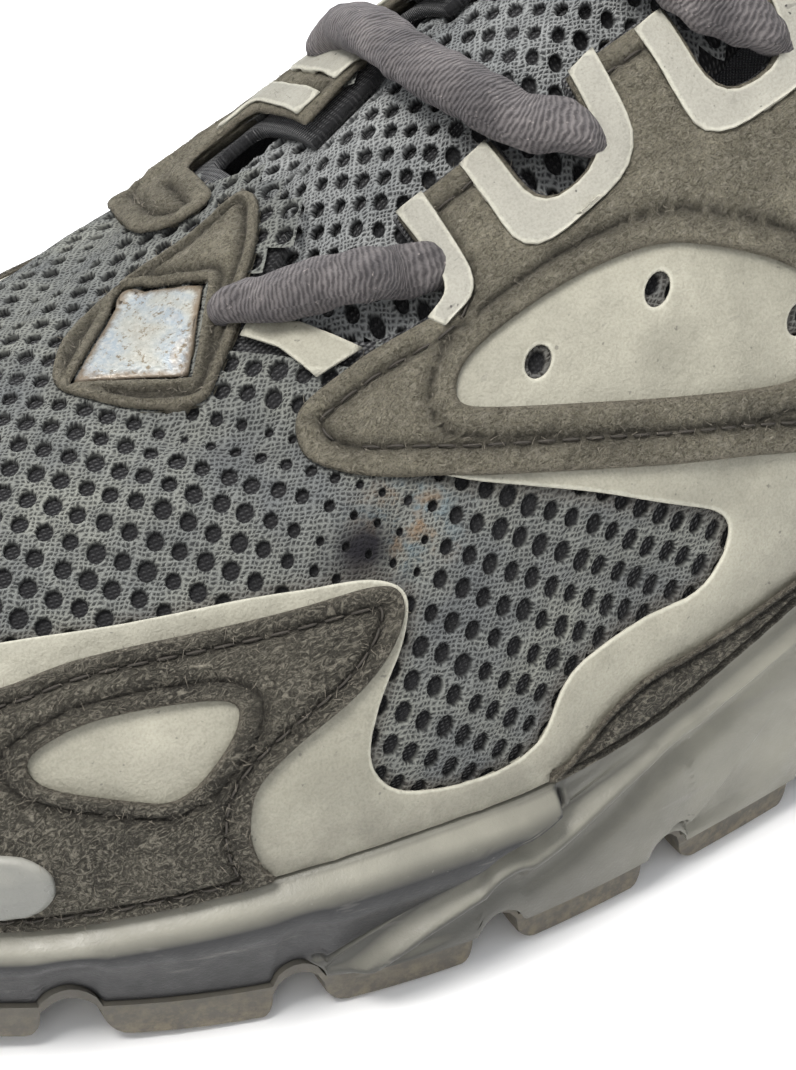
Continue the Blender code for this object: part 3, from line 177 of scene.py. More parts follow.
HEEL_COUNTER = (
    (0.606, 0.015), (0.655, 0.240), (0.720, 0.440), (0.800, 0.590), (0.900, 0.660), (0.970, 0.700),
)
SADDLE_FRONT = (
    (0.2965, 0.636, 0.005), (0.300, 0.695, 0.004), (0.320, 0.698, 0.004), (0.336, 0.697, 0.004),
    (0.3675, 0.673, 0.003), (0.3648, 0.817, 0.001),
)
SADDLE_FRONT_MEDIAL = (
    (-0.294, 0.851, 0.004), (-0.305, 0.925, 0.003), (-0.324, 0.935, 0.003), (-0.331, 0.745, 0.004),
    (-0.3615, 0.740, 0.004), (-0.3630, 0.948, 0.001),
)
SADDLE_BACK = (
    (0.593, 0.760, 0.003), (0.604, 0.860, 0.004), (0.622, 0.900, 0.004), (0.634, 0.780, 0.02),
    (0.615, 0.50, 0.0),
)
SADDLE_FOOT = (
    (0.600, 0.25, 0.0), (0.588, 0.015, 0.0), (0.536, 0.015, 0.0), (0.515, 0.125, 0.01),
    (0.473, 0.226, 0.0), (0.394, 0.393, 0.0), (0.341, 0.502, 0.006), (0.309, 0.581, 0.004),
)
SADDLE_WINDOW = (
    (0.351, 0.575), (0.362, 0.615), (0.403, 0.602), (0.438, 0.561), (0.462, 0.495), (0.488, 0.416),
    (0.510, 0.310), (0.477, 0.301), (0.438, 0.378), (0.408, 0.443), (0.366, 0.534),
)
THROAT_BAND = (
    (0.3045, 0.843), (0.299, 0.833), (0.308, 0.780), (0.314, 0.713), (0.333, 0.706), (0.319, 0.790),
)

# Outlines across the ridge: station, then the share of the rib away from the ridge
BADGE_FRAME = (
    (0.229, 0.085, 0.004), (0.251, 0.182, 0.004), (0.277, 0.229, 0.003), (0.287, 0.194),
    (0.3015, 0.150), (0.306, 0.118), (0.322, 0.072, 0.003), (0.3345, -0.002, 0.003),
    (0.331, -0.035, 0.003), (0.308, -0.030, 0.003), (0.278, -0.038, 0.003), (0.245, 0.010, 0.003),
)
BADGE_HOLE = ((0.2372, 0.097), (0.2765, 0.182), (0.3015, 0.066), (0.276, -0.023))
BADGE = ((0.239, 0.097), (0.276, 0.176), (0.299, 0.066), (0.2755, -0.016))
FIRST_GUIDE = (
    (0.3655, 0.815), (0.3685, 0.690, 0.003), (0.357, 0.680), (0.361, 0.655), (0.378, 0.663, 0.004),
    (0.3765, 0.812),
)
FIRST_GUIDE_MEDIAL = (
    (-0.3640, 0.925), (-0.3650, 0.740, 0.004), (-0.352, 0.730), (-0.352, 0.700),
    (-0.376, 0.705, 0.004), (-0.3750, 0.925),
)
# Tongue: half-width by station, place of its middle, and its route above the throat
TONGUE_CENTRE = 0.060
TONGUE_HALF = ((0.30, 0.017), (0.34, 0.024), (0.50, 0.026), (0.545, 0.0165), (0.56, 0.0150))
TONGUE_COLUMNS = (-1, -0.72, -0.46, -0.28, -0.1, 0.1, 0.28, 0.46, 0.72, 1)
TONGUE_PATH = (
    (0.12, 0.03, 1.0), (0.24, 0.16, 1.04), (0.36, 0.40, 1.25), (0.44, 0.68, 1.48),
    (0.49, 0.90, 1.50), (0.51, 1.0, 1.40),
)

# The photograph's view: degrees around and down, focal length and height in pixels, and the place
# and distance of the middle of the picture
VIEW_TURN = -30
VIEW_DROP = 38
VIEW_FOCAL = 2200
VIEW_HEIGHT = 1070
VIEW_CENTRE = (-0.050, -0.026, 0.045)
VIEW_DISTANCE = 0.2529
# Light from the horizon and from straight above, and the height (Z) of each on the sky's dome
SKY = ((0.10, (0.30, 0.31, 0.32)), (0.70, (0.86, 0.88, 0.92)))
# Soft lights: name, place, target, size, power in watts and colour
LIGHTS = (
    ("key", (-0.38, -0.08, 0.92), (-0.04, 0, 0.04), 0.38, 9, (1.0, 0.98, 0.95)),
    ("front", (-0.55, -0.65, 0.60), (-0.02, 0, 0.03), 0.5, 1.2, (1.0, 0.97, 0.92)),
    ("back", (0.55, 0.35, 0.70), (0.05, 0, 0.05), 0.4, 4, (0.92, 0.96, 1.0)),
)
# Clearances of the tongue under the wall and of the laces over the tongue, and the levels they give
TONGUE_PLAY = 0.0007
LACE_PLAY = 0.0007
TONGUE_LOW = -WALL - TONGUE_PLAY
TONGUE_HIGH = -TONGUE_PLAY
LACE_LOW = TONGUE_LOW + LACE_DIAMETER / 2 + LACE_PLAY
LACE_HIGH = TONGUE_HIGH + LACE_DIAMETER / 2 + LACE_PLAY
# Routes of the laces: station, share of the rib away from the ridge, height over the wall
LACE_FRONT = (
    (0.3000, 0.122, LACE_LOW - 0.0006), (0.3050, 0.142, LACE_LOW + 0.0014),
    (0.3130, 0.168, LACE_HIGH - 0.0006), (0.3245, 0.194, LACE_HIGH), (0.3360, 0.215, LACE_HIGH),
    (0.3460, 0.231, LACE_HIGH - 0.0006), (0.3545, 0.246, LACE_HIGH - 0.0024),
    (0.3625, 0.258, LACE_LOW - 0.0006), (0.3720, 0.270, TONGUE_LOW + 0.0006),
)
# Places along each lace bar: stations ahead of its notch's far edge, share of the way out, height
LACE_BAR = (
    (-0.0385, -1.12, TONGUE_LOW + 0.0010), (-0.0365, -0.98, LACE_LOW),
    (-0.0345, -0.80, LACE_HIGH - 0.0012), (-0.0350, -0.30, LACE_HIGH), (-0.0345, 0.20, LACE_HIGH),
    (-0.0270, 0.64, LACE_HIGH), (-0.0175, 0.95, LACE_HIGH - 0.0008),
    (-0.0080, 1.08, LACE_LOW + 0.0008), (-0.0010, 1.17, LACE_LOW - 0.0016),
    (0.0060, 1.24, TONGUE_LOW + 0.0004),
)
LACE_HEIGHT = 0.0058
LACE_WIDTHS = (0.0066, 0.0074, 0.0070, 0.0070)
# Rise at which the layers of the upper end in the cup, the depth of the cloth behind the knit, and
# how far each layer stands over what it lies on
LAYER_FOOT = 0.008
BACKING_DEPTH = 0.0009
LAYER_HEIGHTS = {"grey": 0.0009, "suede": 0.0013, "guide": 0.0006, "badge": 0.0013}
# The knit: its repeat along and across the shoe, how far it runs on under other layers, its holes
KNIT_PITCH_X = 0.00405
KNIT_PITCH_Y = 0.0048
KNIT_TUCK = 0.0026
HOLE = 0.0021
# Places (u, v) and widths of the stained spot and the burnt spot
SMEAR = (0.322, 0.485)
SMEAR_SIZE = 0.0052
SCORCH = (0.303, 0.485)
SCORCH_SIZE = 0.0034

# Creases of the worn upper: width, rise (negative is a trough), and its line as (u, v) places
CREASES = (
    (0.0030, -0.0014, ((0.262, 0.760), (0.290, 0.690), (0.312, 0.600), (0.320, 0.520))),
    (0.0026, -0.0009, ((0.330, 0.560), (0.322, 0.500), (0.316, 0.440))),
    (0.0030, -0.0010, ((-0.240, 0.870), (-0.285, 0.780), (-0.325, 0.640))),
    (0.0060, 0.0009, ((0.245, 0.680), (0.275, 0.590), (0.300, 0.510))),
    (0.0060, 0.0007, ((-0.225, 0.780), (-0.270, 0.680), (-0.305, 0.560))),
    (0.0050, -0.0008, ((0.350, 0.420), (0.372, 0.300), (0.405, 0.200))),
    (0.0070, 0.0007, ((0.330, 0.480), (0.370, 0.430), (0.420, 0.360))),
    (0.0080, -0.0012, ((0.600, 0.720), (0.640, 0.560), (0.660, 0.420))),
    (0.0080, -0.0012, ((-0.600, 0.760), (-0.640, 0.600), (-0.665, 0.440))),
    (0.0070, -0.0009, ((0.700, 0.860), (0.690, 0.700), (0.715, 0.560))),
    (0.0070, -0.0009, ((-0.700, 0.880), (-0.695, 0.720), (-0.720, 0.580))),
    (0.0090, -0.0010, ((0.180, 0.800), (0.200, 0.960), (-0.190, 0.900))),
)
# Columns of the side's grid near each blade's line, in metres from it
BLADE_STEPS = np.arange(-0.0018, 0.0044, 0.00017)
# Sections of the sole's side: share of the height and depth below the plain side
BUMPER_SECTION = (
    (0.00, 0.0008), (0.20, 0.0007), (0.40, 0.0003), (0.55, -0.0004), (0.68, -0.0012),
    (0.80, -0.0014), (0.90, -0.0008), (1.00, 0.0000),
)
REAR_SECTION = (
    (0.00, -0.0010), (0.20, -0.0006), (0.50, 0.0006), (0.80, 0.0020), (0.92, 0.0012), (1.00, 0.0004),
)
# The moulded ridge beside the bumper, which runs on as the rim's bead: station and share of the height
RIDGE_STATIONS = (0.250, 0.263, 0.278, 0.293, 0.312, 0.351, 0.375, 0.398, 0.430, 0.600, 1.000)
RIDGE_SHARES = (-0.12, 0.00, 0.20, 0.34, 0.45, 0.60, 0.71, 0.81, 0.87, 0.89, 0.91)
# Lengths over which a lug's front and back end round off, and the rows of the mesh across them
LUG_NOSE = 0.0028
LUG_TAIL = 0.0013
LUG_ROUND = (0.0, 0.03, 0.1, 0.22, 0.4, 0.65, 1.0)


# Curves and tables


def spline_bends(knots, points):
    """Second derivatives of a closed cubic curve through the points."""
    count = len(points)
    spans = np.diff(np.append(knots, knots[-1] + np.linalg.norm(points[0] - points[-1])))
    matrix = np.zeros((count, count))
    right = np.zeros_like(points)
    for i in range(count):
        before, after = spans[i - 1], spans[i]
        matrix[i, i - 1] += before
        matrix[i, i] += 2 * (before + after)
        matrix[i, (i + 1) % count] += after
        ahead = (points[(i + 1) % count] - points[i]) / after
        behind = (points[i] - points[i - 1]) / before
        right[i] = 6 * (ahead - behind)
    return spans, np.linalg.solve(matrix, right)


def closed_curve(points, steps=24):
    """A smooth closed curve through the points, with this many steps from each to the next."""
    points = np.array(points, float)
    chords = np.linalg.norm(points - np.roll(points, 1, axis=0), axis=1)
    knots = np.concatenate([[0], np.cumsum(chords[1:])])
    spans, bends = spline_bends(knots, points)
    curve = []
    for i, start in enumerate(points):
        j = (i + 1) % len(points)
        for step in range(steps):
            t = step / steps
            s = 1 - t
            bow = spans[i] ** 2 / 6 * ((s**3 - s) * bends[i] + (t**3 - t) * bends[j])
            curve.append(s * start + t * points[j] + bow)
    return np.array(curve)


def table(rows, x):
    """Smooth values between the rows of a table whose first column is x."""
    rows = np.array(rows, float)
    keys, values = rows[:, 0], rows[:, 1:]
    slopes = np.gradient(values, keys, axis=0)
    x = np.asarray(x, float)
    i = np.clip(np.searchsorted(keys, x) - 1, 0, len(keys) - 2)
    span = keys[i + 1] - keys[i]
    t = np.clip((x - keys[i]) / span, 0, 1)[..., None]
    span = span[..., None]
    start, end = values[i], values[i + 1]
    found = (2 * t**3 - 3 * t**2 + 1) * start + (3 * t**2 - 2 * t**3) * end
    found += (t**3 - 2 * t**2 + t) * slopes[i] * span + (t**3 - t**2) * slopes[i + 1] * span
    return found[..., 0] if values.shape[1] == 1 else found


def ease(x, low, high):
    """0 below low, 1 above high, and a soft step between them."""
    t = np.clip((np.asarray(x, float) - low) / (high - low), 0, 1)
    return t * t * (3 - 2 * t)


def by_side(values, u):
    """The first column on the lateral side, the second on the medial side."""
    return np.where(np.asarray(u) >= 0, values[..., 0], values[..., 1])


# The sole's outline


def inset_curve(curve, inset):
    """A closed curve moved inwards by inset."""
    tangent = np.roll(curve, -1, axis=0) - np.roll(curve, 1, axis=0)
    tangent /= np.linalg.norm(tangent, axis=1)[:, None]
    normal = np.stack([-tangent[:, 1], tangent[:, 0]], axis=1)
    if np.mean(np.sum((curve.mean(axis=0) - curve) * normal, axis=1)) < 0:
        normal = -normal
    return curve + normal * inset


def read_outline(curve):
    """The outline as reach by angle around the two fans' centres, and as y by x on each side."""
    fans = []
    for station, axis, sign in ((TOE_FAN, TOE_AXIS, -1), (HEEL_FAN, HEEL_AXIS, 1)):
        centre = np.array([(station - 0.5) * LENGTH, axis * BALL_WIDTH])
        reach = curve - centre
        angle = np.arctan2(-reach[:, 1], sign * reach[:, 0])
        order = np.argsort(angle)
        fans.append((centre, sign, angle[order], np.linalg.norm(reach, axis=1)[order]))
    runs = []
    for side in (1, -1):
        run = curve[curve[:, 1] * -side > 0]
        run = run[np.argsort(run[:, 0])]
        runs.append((side, run[:, 0], run[:, 1]))
    return fans, runs


# The outline in metres, and what is read from it on its own line and well inside it
INSET_REACH = 0.010
OUTER_CURVE = closed_curve(SOLE_OUTLINE) * (LENGTH, BALL_WIDTH) - (0.5 * LENGTH, 0)
OUTER_CURVE[:, 0] -= (OUTER_CURVE[:, 0].max() + OUTER_CURVE[:, 0].min()) / 2
OUTER_CURVE[:, 1] -= (OUTER_CURVE[:, 1].max() + OUTER_CURVE[:, 1].min()) / 2
OUTER_READ = read_outline(OUTER_CURVE)
INNER_READ = read_outline(inset_curve(OUTER_CURVE, INSET_REACH))


def in_fans(along):
    """Which stations lie in the toe fan, and which in the heel fan."""
    return along < TOE_FAN - 1e-6, along > HEEL_FAN + 1e-6


def read_plan(read, u):
    """Places on the outline at stations u, and the outward directions of the ribs there."""
    fans, runs = read
    along = np.abs(u)
    side = np.where(u < 0, -1.0, 1.0)
    place = np.zeros((len(u), 2))
    out = np.zeros((len(u), 2))
    shares = (along / TOE_FAN, (1 - along) / (1 - HEEL_FAN))
    chosen_fans = in_fans(along)
    for (centre, sign, angles, reaches), share, chosen in zip(fans, shares, chosen_fans):
        turn = (side * share)[chosen] * math.pi / 2
        reach = np.interp(turn, angles, reaches, period=2 * math.pi)
        out[chosen] = np.stack([sign * np.cos(turn), -np.sin(turn)], axis=1)
        place[chosen] = centre + reach[:, None] * out[chosen]
    middle = ~(chosen_fans[0] | chosen_fans[1])
    for run_side, xs, ys in runs:
        chosen = middle & (side == run_side)
        place[chosen, 0] = (along[chosen] - 0.5) * LENGTH
        place[chosen, 1] = np.interp(place[chosen, 0], xs, ys)
        out[chosen, 1] = -run_side
    return place, out


def plan_point(u, inset=0.0):
    """Places on the outline moved inwards by inset, and the outward directions of the ribs."""
    u = wrapped(np.atleast_1d(np.asarray(u, float)))
    outer, out = read_plan(OUTER_READ, u)
    inner, _ = read_plan(INNER_READ, u)
    share = np.broadcast_to(np.asarray(inset, float) / INSET_REACH, u.shape)
    return outer + (inner - outer) * share[:, None], out


def wrapped(u):
    """Stations past the heel seam come round on the other side."""
    u = np.asarray(u, float)
    return np.where(u > 1, u - 2, np.where(u < -1, u + 2, u))


def rim_height(u):
    """Height of the sole's rim, where the upper goes in."""
    return by_side(table(RIM, np.abs(wrapped(u)))[..., 0:2], wrapped(u)) * SOLE_HEIGHT


def cup_depth(u):
    """Depth of the midsole's cup behind the rim."""
    return table(RIM, np.abs(wrapped(u)))[..., 2] * SOLE_HEIGHT


def ground_height(u):
    """The underside of the lugs: toe spring in front, a small bevel at the heel."""
    along = np.abs(wrapped(u))
    toe = np.clip(1 - along / SPRING_START, 0, 1) ** 2 * TOE_SPRING
    heel = np.clip((along - BEVEL_START) / (1 - BEVEL_START), 0, 1) ** 2 * HEEL_BEVEL
    return toe + heel


# The last's surface


def rib_controls(u):
    """The four control points of each rib, from the rim up to the ridge or the collar."""
    along = np.abs(u)
    base, out = plan_point(u, RIM_LIP)
    row = table(RIBS, np.clip(along, TOE_FAN, 1.0))
    top_y = by_side(row[:, 0:2], u) * BALL_WIDTH
    top_z = row[:, 2] * INSTEP_HEIGHT + row[:, 3] * HEEL_HEIGHT
    tilt = np.radians(row[:, 4])
    low_fullness = by_side(row[:, 5:7], u)
    high_fullness = by_side(row[:, 7:9], u)
    foot = np.column_stack([base, rim_height(u)])
    top = np.column_stack([(along - 0.5) * LENGTH, top_y, top_z])
    toe, heel = in_fans(along)
    top[toe, 0] = (TOE_FAN - 0.5) * LENGTH
    centre = np.array([(HEEL_FAN - 0.5) * LENGTH, HEEL_AXIS * BALL_WIDTH])
    top[heel, :2] = centre + out[heel] * np.abs(top_y[heel])[:, None]
    tangent = np.column_stack([out * np.cos(tilt)[:, None], -np.sin(tilt)])
    tangent[:, 2] -= RIDGE_SLOPE * np.where(toe, np.maximum(-out[:, 0], 0), 0)
    span = np.linalg.norm(top[:, :2] - foot[:, :2], axis=1)
    rise = top[:, 2] - foot[:, 2]
    upright = np.clip(tilt / math.radians(60), 0, 1)
    chord = span * (1 - upright) + np.hypot(span, rise) * upright
    high = top + tangent * (high_fullness * chord)[:, None]
    low = foot + np.column_stack([out * RIB_LEAN, low_fullness * rise])
    return foot, low, high, top


def upper_point(u, v):
    """Places on the outside of the upper's wall."""
    u, v = np.broadcast_arrays(wrapped(np.asarray(u, float)), np.asarray(v, float))
    shape = u.shape
    foot, low, high, top = rib_controls(u.ravel())
    t = np.maximum(v.ravel(), 0)[:, None]
    s = 1 - t
    place = s**3 * foot + 3 * s**2 * t * low + 3 * s * t**2 * high + t**3 * top
    place[:, 2] += np.minimum(v.ravel(), 0) * cup_depth(u.ravel())
    return place.reshape(shape + (3,))


def upper_normal(u, v):
    """Outward directions of the upper's wall."""
    step = 2e-4
    u = np.asarray(u, float)
    v = np.minimum(np.asarray(v, float), 0.995)
    along = upper_point(u + step, v) - upper_point(u - step, v)
    upward = upper_point(u, v + step) - upper_point(u, v - step)
    normal = np.cross(along, upward)
    return normal / np.linalg.norm(normal, axis=-1, keepdims=True)


def raised(u, v, level):
    """Places this far out from the wall's outside; negative levels lie inside the shoe."""
    return upper_point(u, v) + upper_normal(u, v) * np.asarray(level)[..., None]


# Patches cut from the last's surface


def rounded(corners, metric, steps=2):
    """A closed polygon from corners (x, y, radius), with arcs at the corners that have a radius."""
    places = [np.array(corner[:2]) for corner in corners]
    polygon = []
    for i, corner in enumerate(corners):
        here = places[i]
        sides = [places[i - 1] - here, places[(i + 1) % len(places)] - here]
        radius = corner[2] if len(corner) > 2 else 0
        if radius == 0:
            polygon.append(tuple(here))
            continue
        lengths = [np.linalg.norm(side * metric) for side in sides]
        starts = [here + side * min(radius / length, 0.45) for side, length in zip(sides, lengths)]
        for step in range(steps + 1):
            t = step / steps
            spot = (1 - t) ** 2 * starts[0] + 2 * (1 - t) * t * here + t**2 * starts[1]
            polygon.append(tuple(spot))
    return polygon


def divided(polygon, step, closed=True):
    """The polygon with no edge longer than step."""
    polygon = np.array(polygon, float)
    count = len(polygon) if closed else len(polygon) - 1
    spots = []
    for i in range(count):
        start, end = polygon[i], polygon[(i + 1) % len(polygon)]
        pieces = max(1, math.ceil(np.linalg.norm(end - start) / step - 0.3))
        for piece in range(pieces):
            spots.append(tuple(start + (end - start) * piece / pieces))
    if not closed:
        spots.append(tuple(polygon[-1]))
    return spots


def inside(spots, loops):
    """Which spots lie inside an odd number of the loops."""
    spots = np.asarray(spots, float)
    odd = np.zeros(len(spots), bool)
    for loop in loops:
        loop = np.asarray(loop, float)
        ends = np.roll(loop, -1, axis=0)
        for (x0, y0), (x1, y1) in zip(loop, ends):
            if y0 == y1:
                continue
            crosses = (spots[:, 1] < y0) != (spots[:, 1] < y1)
            odd ^= crosses & (spots[:, 0] < x0 + (spots[:, 1] - y0) * (x1 - x0) / (y1 - y0))
    return odd


def clearance(spots, loops):
    """Distance of each spot to the nearest edge of the loops."""
    spots = np.asarray(spots, float)
    nearest = np.full(len(spots), 1e9)
    for loop in loops:
        loop = np.asarray(loop, float)
        for start, end in zip(loop, np.roll(loop, -1, axis=0)):
            side = end - start
            length = max(side @ side, 1e-18)
            t = np.clip((spots - start) @ side / length, 0, 1)
            nearest = np.minimum(nearest, np.linalg.norm(spots - start - t[:, None] * side, axis=1))
    return nearest


def triangulated(loops, spots):
    """Triangles that fill the space between the loops, with the spots as corners."""
    places, edges = [], []
    for loop in loops:
        first = len(places)
        places += [Vector(spot) for spot in loop]
        edges += [(first + i, first + i + 1) for i in range(len(loop) - 1)]
        edges.append((first + len(loop) - 1, first))
    places += [Vector(spot) for spot in spots]
    found = delaunay_2d_cdt(places, edges, [], 0, 1e-7)
    places = np.array([tuple(place) for place in found[0]])
    faces = np.array([tuple(face) for face in found[2]])
    return places, faces[inside(places[faces].mean(axis=1), loops)]


SIDE_METRIC = np.array([LENGTH, RIB_CHART])
CUP_CHART = 0.1
FAN_STRETCH = 1.5
CHART_STATIONS = np.array([0, TOE_FAN, HEEL_FAN, 2 - HEEL_FAN, 2 - TOE_FAN])
CHART_SLOPES = np.array([FAN_STRETCH, 1, FAN_STRETCH, 1])
CHART_REACH = np.concatenate([[0], np.cumsum(np.diff(CHART_STATIONS) * CHART_SLOPES)])


def side_chart(spots):
    """Stations and rises laid out flat: wider in the fans, drawn together down in the cup."""
    spots = np.array([spot[:2] for spot in spots], float)
    reach = np.sign(spots[:, 0]) * np.interp(np.abs(spots[:, 0]), CHART_STATIONS, CHART_REACH)
    rise = np.where(spots[:, 1] < 0, spots[:, 1] * CUP_CHART, spots[:, 1])
    return np.column_stack([reach, rise]) * SIDE_METRIC


def from_chart(spots):
    """Stations and rises of flat spots; the reverse of side_chart."""
    spots = np.asarray(spots) / SIDE_METRIC
    station = np.sign(spots[:, 0]) * np.interp(np.abs(spots[:, 0]), CHART_REACH, CHART_STATIONS)
    rise = np.where(spots[:, 1] < 0, spots[:, 1] / CUP_CHART, spots[:, 1])
    return np.column_stack([station, np.where(np.abs(rise) < 1e-9, 0, rise)])


def top_chart(spots):
    """Flat spots of the chart across the ridge, where the shoe's top is one sheet."""
    return np.array([spot[:2] for spot in spots], float) * SIDE_METRIC


def mirrored(loop):
    """The same loop on the other side of the shoe."""
    return [(-corner[0],) + tuple(corner[1:]) for corner in reversed(loop)]


def lug_edges():
    """Front and back station of each lug along the sole's edge."""
    edges = []
    for i in range(LUG_COUNT):
        front = LUG_FIRST + i * LUG_PITCH
        edges.append((front, min(front + LUG_SHARE, 0.985)))
    return edges


def from_top(spots):
    """Stations and rises of flat spots; the reverse of top_chart."""
    station, g = (np.asarray(spots) / SIDE_METRIC).T
    return np.column_stack([station * np.where(g < 0, -1, 1), 1 - np.abs(g)])


def blade_station(blade, share):
    """Station of a blade's line at a share of the side's height."""
    low, high, full, sag = blade
    return low + (high - low) * np.minimum(np.asarray(share) / full, 1) ** sag


def notched_edge(notches, tab_end, side):
    """The throat's edge past a row of notches, from front to back."""
    edge = []
    for front, back, depth in notches:
        mouth = (float(table(tab_end, front)), float(table(tab_end, back)))
        edge += [(side * front, mouth[0], 0.0006), (side * (front + 0.003), depth, 0.005)]
        edge += [(side * (back - 0.002), depth - 0.008, 0.005), (side * back, mouth[1], 0.0006)]
    return edge


def lateral_throat():
    """The throat's edge on the outer side, from front to back."""
    edge = [(0.331, 0.915, 0.002), (0.311, 0.872, 0.002), (0.303, 0.850, 0.001)]
    edge += [(0.336, 0.705, 0.004), (0.3665, 0.684, 0.003), (0.3635, 0.829, 0.0006)]
    edge += notched_edge(LATERAL_NOTCHES, LATERAL_TAB_END, 1)
    return edge + [(THROAT_TOP, 0.775, 0.004), (0.607, 0.880, 0.006), (0.625, 0.985, 0.006)]


def medial_throat():
    """The throat's edge on the inner side, from front to back."""
    edge = notched_edge(MEDIAL_NOTCHES, MEDIAL_TAB_END, -1)
    return edge + [(-THROAT_TOP, 0.860, 0.004), (-0.607, 0.920, 0.006), (-0.625, 0.990, 0.006)]


def offset_notch(notch, tab_end, side, distance):
    """The outline of a notch moved outwards by this distance, from its front to its back."""
    front, back, depth = notch
    du, dv = distance / LENGTH, distance / RIB_CHART
    mouth = (float(table(tab_end, front)), float(table(tab_end, back)))
    edge = [(front - du, mouth[0] - 0.012), (front + 0.003 - du, depth - dv, 0.0055)]
    edge += [(back - 0.002 + du, depth - 0.008 - dv, 0.0055), (back + du, mouth[1] - 0.012)]
    return [(side * corner[0],) + tuple(corner[1:]) for corner in edge]


def strip_place(along, g, level):
    """Places across the ridge: g is the share of the rib away from it, positive lateral."""
    u = np.where(g < 0, -1.0, 1.0) * along
    return raised(u, 1 - np.abs(g), level)


def tongue_width(along):
    """Half the tongue's width at a station."""
    return np.interp(along, [row[0] for row in TONGUE_HALF], [row[1] for row in TONGUE_HALF])


# Camera, floor and light


def add_camera():
    """The photograph's view: from the front of the outer side, 38 degrees down."""
    turn, drop = math.radians(VIEW_TURN), math.radians(VIEW_DROP)
    back = Vector((math.sin(turn) * math.cos(drop), -math.cos(turn) * math.cos(drop), math.sin(drop)))
    right = Vector((math.cos(turn), math.sin(turn), 0))
    up = back.cross(right)
    data = bpy.data.cameras.new("camera")
    data.sensor_fit = "VERTICAL"
    data.sensor_height = 36
    data.lens = 36 * VIEW_FOCAL / VIEW_HEIGHT
    data.clip_start = 0.01
    camera = bpy.data.objects.new("camera", data)
    bpy.context.scene.collection.objects.link(camera)
    place = Vector(VIEW_CENTRE) + back * VIEW_DISTANCE
    camera.matrix_world = Matrix.Translation(place) @ Matrix((right, up, back)).transposed().to_4x4()
    bpy.context.scene.camera = camera


def area_light(name, place, target, size, power, colour):
    """A round soft light that looks at its target."""
    data = bpy.data.lights.new(name, "AREA")
    data.shape = "DISK"
    data.size = size
    data.energy = power
    data.color = colour
    light = bpy.data.objects.new(name, data)
    light.location = place
    light.rotation_euler = (Vector(target) - Vector(place)).to_track_quat("-Z", "Y").to_euler()
    bpy.context.scene.collection.objects.link(light)


def add_stage():
    """Pale paper floor, a soft grey sky and three soft lights."""
    bpy.ops.mesh.primitive_circle_add(vertices=96, radius=3.0, fill_type="NGON")
    floor = bpy.context.object
    floor.name = "floor"
    paint = Paint("floor paper", 0.85)
    paint.set("Base Color", (0.93, 0.93, 0.93, 1))
    floor.data.materials.append(paint.material)
    world = bpy.data.worlds.new("studio")
    world.use_nodes = True
    nodes, links = world.node_tree.nodes, world.node_tree.links
    split = nodes.new("ShaderNodeSeparateXYZ")
    links.new(nodes.new("ShaderNodeTexCoord").outputs["Generated"], split.inputs[0])
    sky = nodes.new("ShaderNodeValToRGB")
    links.new(split.outputs["Z"], sky.inputs[0])
    for element, (height, colour) in zip(sky.color_ramp.elements, SKY):
        element.position = height
        element.color = (*colour, 1)
    links.new(sky.outputs[0], nodes["Background"].inputs[0])
    bpy.context.scene.world = world
    bpy.context.scene.view_settings.view_transform = "Standard"
    for light in LIGHTS:
        area_light(*light)


# Materials


